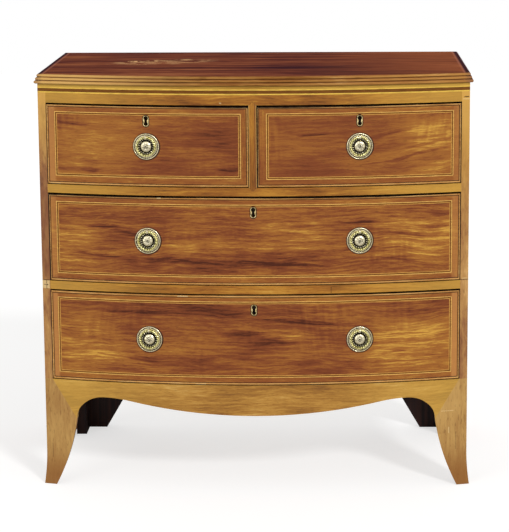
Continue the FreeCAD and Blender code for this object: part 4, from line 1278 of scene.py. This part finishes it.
@dataclass
class Workshop:
    """What every sub-assembly needs: the CAD nodes, the finishes and the bow of the front."""

    nodes: dict[str, Thing]
    palette: Palette
    plan: BowPlan

    def paint(self, material: Material, *nodes: str) -> None:
        """Put a material in every slot of some CAD nodes.

        Args:
            material: the finish.
            nodes: the nodes' names.
        """
        for node in nodes:
            mesh = self.nodes[node].data
            mesh.materials.clear()
            mesh.materials.append(material)
            log.info("%s has %s", node, material.name)


# ------------------------------------------------------------------ the top
@dataclass
class TopBoard:
    """The top board and its reeded edge. A coat that goes by X has its ends in metres."""

    shop: Workshop
    board: Timber = Timber("top mahogany", TOP, Grain.LYING, (1.7, 34.0, 20.0), 4.0, wave=0.05, streaks=0.7,
                           patches=0.6, fine=0.6, polish=0.0, specular=0.01, top_roughness=0.9, grime=0.0)
    red_right: Coat = Coat((176, 100, 58), 0.3, 0.05, 0.42)
    pale_rim: Coat = Coat((184, 120, 98), 0.4, 0.449, 0.453)
    # painted shade on the moulding that slopes away at each end of the top
    shaded_rim: Coat = Coat((58, 28, 34), 1.0, 0.453, 0.458)
    scratch: Coat = Coat((230, 182, 126))
    scratch_stretch: Pair = (14.0, 240.0)
    scratch_ends: Pair = (0.5, 0.58)
    scratch_bend: float = 0.12
    bend_scale: float = 9.0
    break_scale: float = 26.0
    break_ends: Pair = (0.4, 0.56)
    reed: Timber = Timber("reed", REED, stretch=(6.0, 160.0, 30.0), seed=31.0, patches=0.6)
    reeds: int = 3
    groove_ends: tuple[Pair, Pair] = ((0.16, 0.0), (0.88, 1.0))
    edge_ends: Pair = (0.9, 0.75)
    reed_pale_left: Coat = Coat((226, 182, 108), 0.8, -0.05, -0.42)
    reed_tan_right: Coat = Coat((212, 156, 84), 0.35, 0.1, 0.42)
    # painted shade in the grooves between the reeds
    reed_groove_shade: Coat = Coat((70, 36, 20), 0.7)
    reed_corner: Coat = Coat((138, 96, 80), 0.5, 0.45, 0.468)
    # painted shade on the faces of the reeded edge that look sideways
    reed_side_shade: Coat = Coat((58, 28, 34), 0.9, 0.4, 0.7)

    def dress(self) -> None:
        """Give the board its finish."""
        self.shop.paint(self.shop.palette.timber(self.board, self.reeded), "top_board")

    def reeded(self, s: Surface) -> None:
        """Paler reeds with painted shade in the grooves between them, painted shade along both sides, round
        the scratched top.

        Args:
            s: the surface of the board.
        """
        x, aside = s.axes["x"], abs(s.axes["x"])
        # painted shade along the ends of the top
        s.lay((x, self.red_right), (aside, self.pale_rim), (aside, self.shaded_rim),
              (self.scratches(s), self.scratch))
        low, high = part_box("top_board")
        turn = ((s.axes["z"] - low.z) / ((high.z - low.z) / self.reeds)).fract()
        below, above = (turn.span(*ends) for ends in self.groove_ends)
        flat, s.colour = s.colour, self.shop.palette.wood(s, self.reed)
        # painted shade in the grooves and on the edge's sideways faces
        s.lay((x, self.reed_pale_left), (x, self.reed_tan_right), (below.most(above), self.reed_groove_shade),
              (aside, self.reed_corner), (abs(s.normal[0]), self.reed_side_shade))
        s.colour = s.g.blend(s.normal[2].span(*self.edge_ends), flat, s.colour)

    def scratches(self, s: Surface) -> Wire:
        """Where the front left of the top is scratched.

        Args:
            s: the surface of the board.

        Returns:
            The mask.
        """
        x, y = s.axes["x"], s.axes["y"]
        flat = s.g.join(x, y)
        region, = (self.shop.palette.cloud(s, flat, cloud) for cloud in clouds("scratches"))
        along, across = self.scratch_stretch
        bent = y + (s.g.noise(flat, self.bend_scale, 2.0) - 0.5) * self.scratch_bend
        lines = s.g.noise(s.g.join(x * along, bent * across), 1.0, 2.0, 0.6)
        broken = s.g.noise(flat, self.break_scale, 2.0).span(*self.break_ends)
        return s.g.math("MULTIPLY", lines.span(*self.scratch_ends) * broken, region, clamp=True)


# ------------------------------------------------------------------ the carcass
@dataclass
class Carcass:
    """The rails, the sides, the feet, the frieze strips and the plain wood inside.

    Sizes are metres, but each strip has its lower and upper edge in millimetres. The ends of a coat
    are metres where it goes by a place, and a share of the half width for the pale ends. The muntin's
    arris and joint count from its edge and its points.
    """

    shop: Workshop
    half_width: float = 0.465
    back_board_count: int = 4
    board_seeds: Pair = (3.7, 0.5)
    bracket_corner: float = 0.1
    bracket_reach: float = 0.216
    bracket_smooth: float = 25.0
    strips: tuple[tuple[str, float, float, str], ...] = (
        ("frieze_light_band", 886.6, 893.4, "light band"), ("frieze_bright_line", 883.9, 886.6, "bright line"),
        ("frieze_dark_line", 877.1, 883.9, "dark line"), ("frieze_fine_line", 874.2, 877.1, "bright line"))
    rail: Timber = Timber("rail veneer", RAIL, seed=7.0, streaks=0.36, patches=0.5, lift=-0.07)
    muntin: Timber = Timber("muntin veneer", RAIL, Grain.UPRIGHT, (4.0, 90.0, 8.0), 8.0, lift=-0.2)
    apron: Timber = Timber("apron veneer", APRON, seed=11.0, streaks=0.44, patches=0.5, fine=0.6, lift=-0.03)
    side: Timber = Timber("side mahogany", CARCASS, Grain.SIDE, (2.2, 46.0, 20.0), 13.0, wave=0.05)
    stile: Timber = Timber("stile", STILE, Grain.UPRIGHT, (9.0, 60.0, 8.0), 37.0, streaks=0.5, patches=0.5)
    foot: Timber = Timber("foot veneer", FOOT, Grain.UPRIGHT, (5.0, 60.0, 8.0), 17.0, streaks=0.24, fine=0.3)
    back_foot: Timber = Timber("back foot mahogany", CARCASS, Grain.UPRIGHT, (3.0, 26.0, 40.0), 19.0)
    band: Timber = Timber("light band", LIGHT_BAND, stretch=(4.0, 200.0, 8.0), seed=29.0, lift=0.02, grime=0.2)
    pine: Timber = Timber("carcass pine", PINE, stretch=(1.6, 80.0, 80.0), seed=23.0, patches=0.2,
                          roughness=0.7, polish=0.0, specular=0.2)
    pale_ends: Coat = Coat((210, 168, 74), 0.5, 0.25, 1.0)
    muntin_shade: Coat = Coat((108, 56, 34), 0.6, 1.5 * MM, 6.0 * MM)
    # a painted highlight along each arris of the muntin
    muntin_arris_highlight: Coat = Coat((212, 168, 96), 0.7, -1.7 * MM, -1.0 * MM)
    muntin_joint: Coat = Coat((72, 38, 18), 0.75, 1.3 * MM, 0.8 * MM)
    stile_sun: Coat = Coat((196, 146, 62), 0.7)
    sun_ends: Pair = (0.5, 0.85)
    stile_shade: Coat = Coat((116, 66, 48), 0.55)
    shade_ends: Pair = (0.48, 0.66)
    shade_fade: Pair = (0.03, -0.02)
    front_facing: Pair = (-0.7, -0.9)
    stile_upper: Coat = Coat((212, 164, 84), 0.6, 0.7, 0.82)
    stile_head: Coat = Coat((212, 162, 76), 0.6, 0.835, 0.865)
    toe: Coat = Coat((132, 82, 36), 0.75, 0.11, 0.015)
    # painted shade on the faces of the front feet that look inwards
    foot_inner_shade: Coat = Coat((112, 60, 24), 0.85, -0.2, -0.5)
    board_shade: Coat = Coat((112, 82, 54), 0.5, 0.35, 0.65)
    board_joint: Coat = Coat((34, 22, 14), 1.0, 0.009, 0.005)
    # the near black of the back feet's inner faces: old dark wood and painted shade
    dark_and_shaded: tuple[Rgb, Rgb] = ((36, 26, 27), (58, 36, 32))
    dark_and_shaded_scale: float = 70.0
    dark_and_shaded_ends: Pair = (0.4, 0.6)
    outward_facing: Pair = (0.5, 0.8)
    edge_facing: float = -0.3
    edge_ease: float = 1 * MM

    def dress(self) -> None:
        """Give every node of the carcass its finish and add the strips."""
        make, paint = self.shop.palette.timber, self.shop.paint
        paint(make(self.rail, self.paler_ends, clouds("rails")), "frieze_rail", "rail_upper", "rail_lower")
        paint(make(self.muntin, self.pointed_ends), "muntin")
        paint(make(self.apron, self.paler_ends), "apron")
        paint(make(self.side, self.stile_face), "side_left", "side_right")
        paint(make(self.foot, self.foot_toe), "foot_front_left", "foot_front_right")
        paint(make(self.pine), "runners", "dust_boards", "base_board", "glue_blocks", "drawer_stops")
        paint(make(replace(self.pine, name="back board pine"), self.board_joints), "back_boards")
        self.back_feet()
        self.frieze()

    def back_feet(self) -> None:
        """Make the back feet, whose brackets reach further along under the back."""
        finish = self.shop.palette.timber(self.back_foot, self.dark_and_shaded_inside)
        for side in ("left", "right"):
            node = f"foot_back_{side}"
            mesh = self.shop.nodes[node].data.copy()
            for vertex in mesh.vertices:
                if abs(vertex.co.x) < self.half_width - self.bracket_corner:
                    vertex.co.x = math.copysign(self.half_width - self.bracket_reach, vertex.co.x)
            piece = place_mesh(f"{node}_brackets", mesh, finish, self.bracket_smooth)
            mounted(piece, "carcass", node)

    def frieze(self) -> None:
        """Add the light and dark lines across the frieze."""
        inlay = Inlay(self.shop.plan)
        made = {**self.shop.palette.made, self.band.name: self.shop.palette.timber(self.band, self.paler_ends)}
        for name, low, high, finish in self.strips:
            shell = Shell()
            inlay.level(shell, (-self.half_width, self.half_width, low * MM, high * MM))
            mounted(shell.build(name, made[finish]), "carcass")

    def board_joints(self, s: Surface) -> None:
        """Dark joints between the back boards, each board with its own shade.

        Args:
            s: the surface of the boards.
        """
        low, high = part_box("back_boards")
        board = (s.axes["z"] - low.z) / ((high.z - low.z) / self.back_board_count)
        step, start = self.board_seeds
        shade = s.g.noise(s.g.join(board.floor() * step, 0.0, start), 1.0, 1.0)
        turn = board.fract()
        s.lay((shade, self.board_shade), (turn.least(1.0 - turn), self.board_joint))

    def paler_ends(self, s: Surface) -> None:
        """Paler towards both sides of the chest, with a few scars."""
        s.lay((abs(s.axes["x"]) / self.half_width, self.pale_ends))
        s.scar(marks("rails"))

    def pointed_ends(self, s: Surface) -> None:
        """Dark joints round both points of the muntin, and painted highlights along its arrises.

        Args:
            s: the surface of the muntin.
        """
        low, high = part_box("muntin")
        x, z, aside = s.axes["x"], s.axes["z"], abs(s.axes["x"])
        s.lay((x, self.muntin_shade), (aside - high.x, self.muntin_arris_highlight),
              ((high.z - z - aside).least(z - low.z - aside), self.muntin_joint))

    def stile_face(self, s: Surface) -> None:
        """The veneered front edge of a side, brighter on the right and near the top.

        Args:
            s: the surface of the side.
        """
        z, right = s.axes["z"], s.axes["x"] > 0.0
        side, s.colour = s.colour, self.shop.palette.wood(s, self.stile)
        shaded = (1.0 - right) * z.beyond(*self.shade_ends).span(*self.shade_fade)
        s.lay((right * z.span(*self.sun_ends), self.stile_sun), (shaded, self.stile_shade),
              (z, self.stile_upper), (z, self.stile_head))
        s.scar(marks("stiles"))
        s.colour = s.g.blend(s.normal[1].span(*self.front_facing), side, s.colour)

    def foot_toe(self, s: Surface) -> None:
        """Feet that are darker and more orange near the floor, with painted shade on their inner edges.

        Args:
            s: the surface of the foot.
        """
        # painted shade on the inner faces of the feet
        s.lay((s.axes["z"], self.toe), (s.normal[0] * s.axes["x"].sign(), self.foot_inner_shade))
        s.scar(marks("feet"))

    def dark_and_shaded_inside(self, s: Surface) -> None:
        """Inner faces near black, as old dark wood with painted shade over it, outer ones as the sides.

        Args:
            s: the surface of the back foot.
        """
        x, normal = s.axes["x"], s.normal
        outer = (normal[0] * x.sign()).span(*self.outward_facing)
        edge = (normal[1] < self.edge_facing) * (abs(x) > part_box("side_right")[0].x - self.edge_ease)
        # painted shade and old dark wood on the inner faces
        uneven = s.g.noise(s.g.join(x * self.dark_and_shaded_scale), 1.0, 2.0).span(*self.dark_and_shaded_ends)
        dark_and_shaded = s.g.blend(uneven, *map(linear, self.dark_and_shaded))
        s.colour = s.g.blend(outer.most(edge), dark_and_shaded, s.colour)


# ------------------------------------------------------------------ the drawers
@dataclass
class Drawer:
    """One drawer: its veneered front, inlay, bead, brasses, linings and lock.

    Sizes and places are millimetres. Each pair of the gap is a place along the bead and how much of
    its top is painted dark there, as the gap's shade. The ends of a coat are metres from the bead, the
    keyhole plate or the back plate.
    """

    shop: Workshop
    name: str
    key_x: float
    handles: tuple[float, ...]
    string_x: Pair
    string_z: Pair
    seed: float
    gap: tuple[Pair, ...]
    streaks: float
    end_gaps: Pair
    tan_ends: Pair
    tan: Coat = Coat((186, 128, 70))
    tan_fade: float = 3.0
    bead: float = 3.2
    bead_shadow: Coat = Coat((52, 25, 10), 1.0, -2.1 * MM, -1.1 * MM)
    # painted shade on the bead's upper edge and ends, deepening the gap round the drawer
    bead_dark: Coat = Coat((24, 10, 5), 1.0, 0.0, 0.5 * MM)
    key_reach: float = 6.8
    # painted shade in and round the keyhole, where the hole is dark
    key_dark: Coat = Coat((14, 8, 5), 1.0, 1.2 * MM, 0.3 * MM)
    # a painted shadow of each plate, set below and right of it, with old dirt
    plate_shadow_and_wax: Coat = Coat((30, 14, 7), 0.9, 2.5 * MM, 0.7 * MM)
    plate_shadow_offset: Pair = (0.5, -0.4)
    band: Timber = Timber("band", MAHOGANY, stretch=(9.0, 170.0, 8.0), wave=0.01, lift=0.1)
    band_seeds: tuple[tuple[Grain, float], ...] = ((Grain.LEVEL, 41.0), (Grain.UPRIGHT, 43.0))
    band_share: float = 0.5
    bead_seed: float = 47.0
    gap_scale: float = 9.0
    gap_ends: Pair = (0.3, 0.62)
    gap_swing: Pair = (0.7, 1.1)
    brass_smooth: float = 60.0
    lining_smooth: float = 50.0
    pull: RingPull = field(default_factory=RingPull)
    lines: tuple[tuple[str, str, float], ...] = (
        ("stringing", "boxwood", 1.7), ("dark_line", "brown line", 2.3), ("fine_line", "tawny line", 1.5))

    @property
    def body(self) -> str:
        """The CAD body that the drawer moves as."""
        return f"{self.name}_drawer"

    def box(self, part: str) -> tuple[Vector, Vector]:
        """The box of one of the drawer's CAD nodes."""
        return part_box(f"{self.name}_{part}")

    def string_edges(self) -> list[float]:
        """The stringing's left, right, lower and upper edges in metres."""
        return [edge * MM for edge in (*self.string_x, *self.string_z)]

    def pulls(self) -> list[tuple[str, float, float]]:
        """Each ring's node and the middle of its plate.

        Returns:
            The names, and the places in metres.
        """
        names = ["ring"] if len(self.handles) == 1 else ["ring_left", "ring_right"]
        hang = (self.pull.ring_radius + self.pull.cad_section) * MM
        return [(f"{self.name}_{ring}", x * MM, self.box(ring)[1].z - hang)
                for ring, x in zip(names, self.handles)]

    def dress(self, oak: Material, lock: Material) -> None:
        """Give every node of the drawer its finish, and add the inlay and the brasses.

        Args:
            oak: the finish of the linings.
            lock: the finish of the lock.
        """
        make, paint = self.shop.palette.timber, self.shop.paint
        front = Timber(f"{self.name} front mahogany", MAHOGANY, seed=self.seed, streaks=self.streaks,
                       fine=1.2 * self.streaks, ripple=0.14, lift=-0.04)
        bead = Timber(f"{self.name} bead mahogany", BEAD, seed=self.bead_seed + self.seed, grime=0.3)
        paint(make(front, self.front_face, clouds(self.name)), f"{self.name}_front")
        paint(make(bead, self.bead_lines), f"{self.name}_cock_bead")
        paint(oak, *(f"{self.name}_{part}" for part in ("sides", "back", "bottom")))
        paint(lock, *(f"{self.name}_{part}" for part in ("lock", "lock_bolt")))
        self.string()
        self.ring_pulls()
        self.keyhole()

    def front_face(self, s: Surface) -> None:
        """The band outside the stringing, the painted shadow line by the bead, painted shade in and round the
        keyhole, and painted shadow with old dirt round the plates.

        Args:
            s: the surface of the front.
        """
        x, z = s.axes["x"], s.axes["z"]
        x0, x1, z0, z1 = self.string_edges()
        out_x, out_z = x.beyond(x0, x1), z.beyond(z0, z1)
        outside = out_x.most(out_z) > 0.0
        level, upright = (self.shop.palette.wood(s, replace(self.band, grain=grain, seed=seed + self.seed))
                          for grain, seed in self.band_seeds)
        band = s.g.blend(self.band_share, s.g.blend(out_z > out_x, upright, level), s.colour)
        s.colour = s.g.blend(outside, s.colour, band)
        fade = self.tan_fade * MM
        ends = (x.span(x0 + fade, x0 - fade, (0.0, self.tan_ends[0]))
                + x.span(x1 - fade, x1 + fade, (0.0, self.tan_ends[1])))
        low, high = self.box("cock_bead")
        bead = self.bead * MM
        rim = x.beyond(low.x + bead, high.x - bead).most(z.beyond(low.z + bead, high.z - bead))
        s.lay((outside * ends, self.tan), (rim, self.bead_shadow))
        low, high = self.box("escutcheon")
        reach = self.key_reach * MM
        # painted shade in and round the keyhole
        self.ringed(s, x - self.key_x * MM, z.beyond(low.z + reach, high.z - reach).most(0.0), reach,
                    self.key_dark)
        # painted shadows of the plates, with old dirt
        for _, middle_x, middle_z in self.pulls():
            self.ringed(s, x - (middle_x + self.plate_shadow_offset[0] * MM), z - (middle_z + self.plate_shadow_offset[1] * MM),
                        self.pull.PROFILE[0][0] * MM, self.plate_shadow_and_wax)

    def ringed(self, s: Surface, aside: Wire, up: Wire, radius: float, coat: Coat) -> None:
        """Lay a coat by how far a point lies outside a radius."""
        s.lay(((up * up + aside * aside).root() - radius, coat))

    def bead_lines(self, s: Surface) -> None:
        """Painted shade along the upper edge and the ends, where the gap round the drawer shows, and scars.

        Args:
            s: the surface of the bead.
        """
        x = s.axes["x"]
        low, high = self.box("cock_bead")
        uneven = s.g.noise(s.g.join(x * self.gap_scale, 0.0, self.seed), 1.0, 2.0)
        deep = self.gap[0][1]
        for (a, before), (b, after) in zip(self.gap, self.gap[1:]):
            deep = deep + x.span(a * MM, b * MM, (0.0, after - before))
        edge = s.axes["z"] - high.z + uneven.span(*self.gap_ends, self.gap_swing) * deep * MM
        left, right = (wide * MM for wide in self.end_gaps)
        # painted shade along the bead's upper edge and ends
        s.lay((edge.most(x.beyond(low.x + left, high.x - right)), self.bead_dark))
        s.scar(marks("beads"))

    def string(self) -> None:
        """Add the light line, the dark one inside it and a finer light one, open at the keyhole."""
        inlay = Inlay(self.shop.plan)
        x0, x1, z0, z1 = self.string_edges()
        low, high = self.box("escutcheon")
        radius, key_x = (high.x - low.x) / 2, self.key_x * MM
        inner = 0.0
        for name, finish, width in self.lines:
            shell = Shell()
            above = max(0.0, z1 - inner - width * MM - (high.z - radius))
            half = math.sqrt(max(0.0, radius ** 2 - above ** 2))
            inlay.frame(shell, (x0 + inner, x1 - inner, z0 + inner, z1 - inner), width * MM,
                        (key_x - half, key_x + half) if half else None)
            inner += width * MM
            mounted(shell.build(f"{self.name}_{name}", self.shop.palette.made[finish]), self.body)

    def ring_pulls(self) -> None:
        """Add the rings, each on its own body, and the plates."""
        made = self.shop.palette.made
        plates = Shell()
        for node, x, z in self.pulls():
            seat = self.shop.plan.facing(x, z)
            self.pull.plate(plates, seat)
            ring = Shell()
            self.pull.ring(ring, seat)
            piece = ring.build(f"{node}_leafy", made["ring brass"], self.brass_smooth)
            mounted(piece, node, node)
        piece = plates.build(f"{self.name}_stamped_plates", made["plate brass"], self.brass_smooth)
        mounted(piece, self.body, f"{self.name}_handle_plates")

    def keyhole(self) -> None:
        """Add the lining of the keyhole."""
        low, high = self.box("escutcheon")
        mesh = KeyholePlate().mesh(self.shop.plan.facing(self.key_x * MM, (low.z + high.z) / 2))
        piece = place_mesh(f"{self.name}_keyhole_lining", mesh, self.shop.palette.made["escutcheon brass"],
                           self.lining_smooth)
        mounted(piece, self.body, f"{self.name}_escutcheon")


def dress_drawers(shop: Workshop) -> None:
    """Dress the four drawers, from the top left down.

    Args:
        shop: the nodes and finishes.
    """
    oak = shop.palette.timber(Timber("lining oak", OAK, Grain.FORE_AND_AFT, (3.0, 40.0, 60.0), 51.0,
                                     roughness=0.6, polish=0.0, specular=0.2))
    lock = shop.palette.plain("lock brass", (96, 78, 46), 0.45, 0.4)
    new = partial(Drawer, shop)
    for drawer in (
            new("top_left", -228, (-228,), (-428.5, -25), (694.5, 834.5), 1.0,
                ((-447, 0.5), (-330, 0.9), (-20, 2.6)), 0.27, (1.2, 1.0), (0.65, 0.0)),
            new("top_right", 228, (228,), (29, 430), (692.5, 835), 2.3,
                ((10, 2.6), (200, 2.0), (350, 0.8), (447, 0.6)), 0.2, (2.6, 1.6), (0.0, 0.3)),
            new("middle", 0, (-228, 228), (-429.5, 428), (479, 638.6), 3.7,
                ((-447, 2.0), (-250, 1.6), (-60, 0.6), (60, 1.4), (250, 1.8), (447, 0.5)), 0.4,
                (2.4, 1.5), (0.4, 0.4)),
            new("bottom", 0, (-228, 228), (-431, 429), (257, 426.2), 5.1,
                ((-447, 0.2), (0, 0.2), (447, 0.6)), 0.34, (1.3, 1.4), (0.75, 0.8))):
        drawer.dress(oak, lock)


# ------------------------------------------------------------------ the studio
@dataclass
class Studio:
    """The pale floor, the soft light and the camera. Angles in degrees, the lens in millimetres."""

    camera_place: Triple = (0.168, -4.3915, 1.381)
    yaw: float = -1.227
    pitch: float = 9.844
    roll: float = -0.305
    lens: float = 133.2
    sensor: float = 36.0
    clip: Pair = (0.05, 60.0)
    shift: Pair = (-0.067, -0.1362)
    ambient: float = 0.55
    floor_glow: float = 0.645
    floor_reach: float = 8.0
    floor_level: float = -0.0004
    suns: tuple[tuple[str, float, Triple, float], ...] = (
        ("key", 1.5, (-0.45, 0.75, -0.55), 9.0), ("fill", 0.45, (0.6, 0.7, -0.25), 30.0))

    def camera(self) -> None:
        """Place the camera."""
        data = bpy.data.cameras.new("camera")
        data.lens, data.sensor_width = self.lens, self.sensor
        data.shift_x, data.shift_y = self.shift
        data.clip_start, data.clip_end = self.clip
        turn = (Matrix.Rotation(-math.radians(self.yaw), 4, "Z")
                @ Matrix.Rotation(math.radians(90 - self.pitch), 4, "X")
                @ Matrix.Rotation(math.radians(self.roll), 4, "Z"))
        camera = linked("camera", data)
        camera.matrix_world = Matrix.Translation(self.camera_place) @ turn
        bpy.context.scene.camera = camera

    def world(self) -> None:
        """White for the camera and for reflections, and an even light for everything else."""
        world = bpy.data.worlds.new("studio")
        bpy.context.scene.world = world
        world.use_nodes = True
        world.node_tree.nodes.clear()
        g = Graph(world.node_tree)
        path = g.outputs(g.node("ShaderNodeLightPath"))
        seen = g.math("ADD", path["Is Camera Ray"] + path["Is Glossy Ray"], path["Is Transmission Ray"],
                      clamp=True)
        white = g.wire("ShaderNodeBackground", {"Color": (1, 1, 1, 1), "Strength": 1.0})
        even = g.wire("ShaderNodeBackground", {"Color": (1, 0.99, 0.97, 1), "Strength": self.ambient})
        mixed = g.wire("ShaderNodeMixShader", {0: seen, 1: even, 2: white})
        g.node("ShaderNodeOutputWorld", {"Surface": mixed})

    def sun(self, name: str, strength: float, toward: Triple, spread: float) -> None:
        """Add a soft sun.

        Args:
            name: its name.
            strength: its strength.
            toward: the way its light goes.
            spread: its size in degrees.
        """
        data = bpy.data.lights.new(name, "SUN")
        data.energy, data.angle = strength, math.radians(spread)
        linked(name, data).rotation_euler = Vector(toward).to_track_quat("-Z", "Y").to_euler()

    def floor(self) -> None:
        """A wide pale floor that keeps the chest's shadow."""
        shell = Shell()
        shell.cap([Vector((x * self.floor_reach, y * self.floor_reach, self.floor_level))
                   for x, y in ((-1, -1), (1, -1), (1, 1), (-1, 1))])
        s = Surface("floor", (0.8, 0.8, 0.8, 1.0))
        material = s.shade({"Roughness": 1.0, "Specular IOR Level": 0.0})
        path = s.g.outputs(s.g.node("ShaderNodeLightPath"))
        shade = s.g.wire("ShaderNodeBsdfDiffuse", {"Color": (0.5, 0.5, 0.5, 1.0)})
        glow = s.g.wire("ShaderNodeEmission", {"Color": (1, 1, 1, 1), "Strength": self.floor_glow})
        seen = s.g.wire("ShaderNodeAddShader", {0: shade, 1: glow})
        plain = Wire(s.g, s.shader.outputs[0])
        mixed = s.g.wire("ShaderNodeMixShader", {0: path["Is Camera Ray"], 1: plain, 2: seen})
        s.g.feed(s.out, {"Surface": mixed})
        shell.build("floor", material)

    def build(self) -> None:
        """Build the studio."""
        self.camera()
        self.world()
        for sun in self.suns:
            self.sun(*sun)
        self.floor()
        log.info("studio built")


def corners(bounds: tuple[Vector, Vector]) -> list[list[float]]:
    """A box as plain lists of numbers."""
    return [list(map(float, corner)) for corner in bounds]


def main() -> None:
    """Dress the chest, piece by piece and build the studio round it."""
    logging.basicConfig(level=logging.INFO, format="%(name)s: %(message)s")
    for thing in list(bpy.data.objects):
        bpy.data.objects.remove(thing)
    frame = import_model()
    bpy.context.scene.view_settings.view_transform = "Standard"
    shop = Workshop(frame["nodes"], Palette(), BowPlan.from_frame())
    TopBoard(shop).dress()
    Carcass(shop).dress()
    dress_drawers(shop)
    Studio().build()


if __name__ == "__main__":
    main()
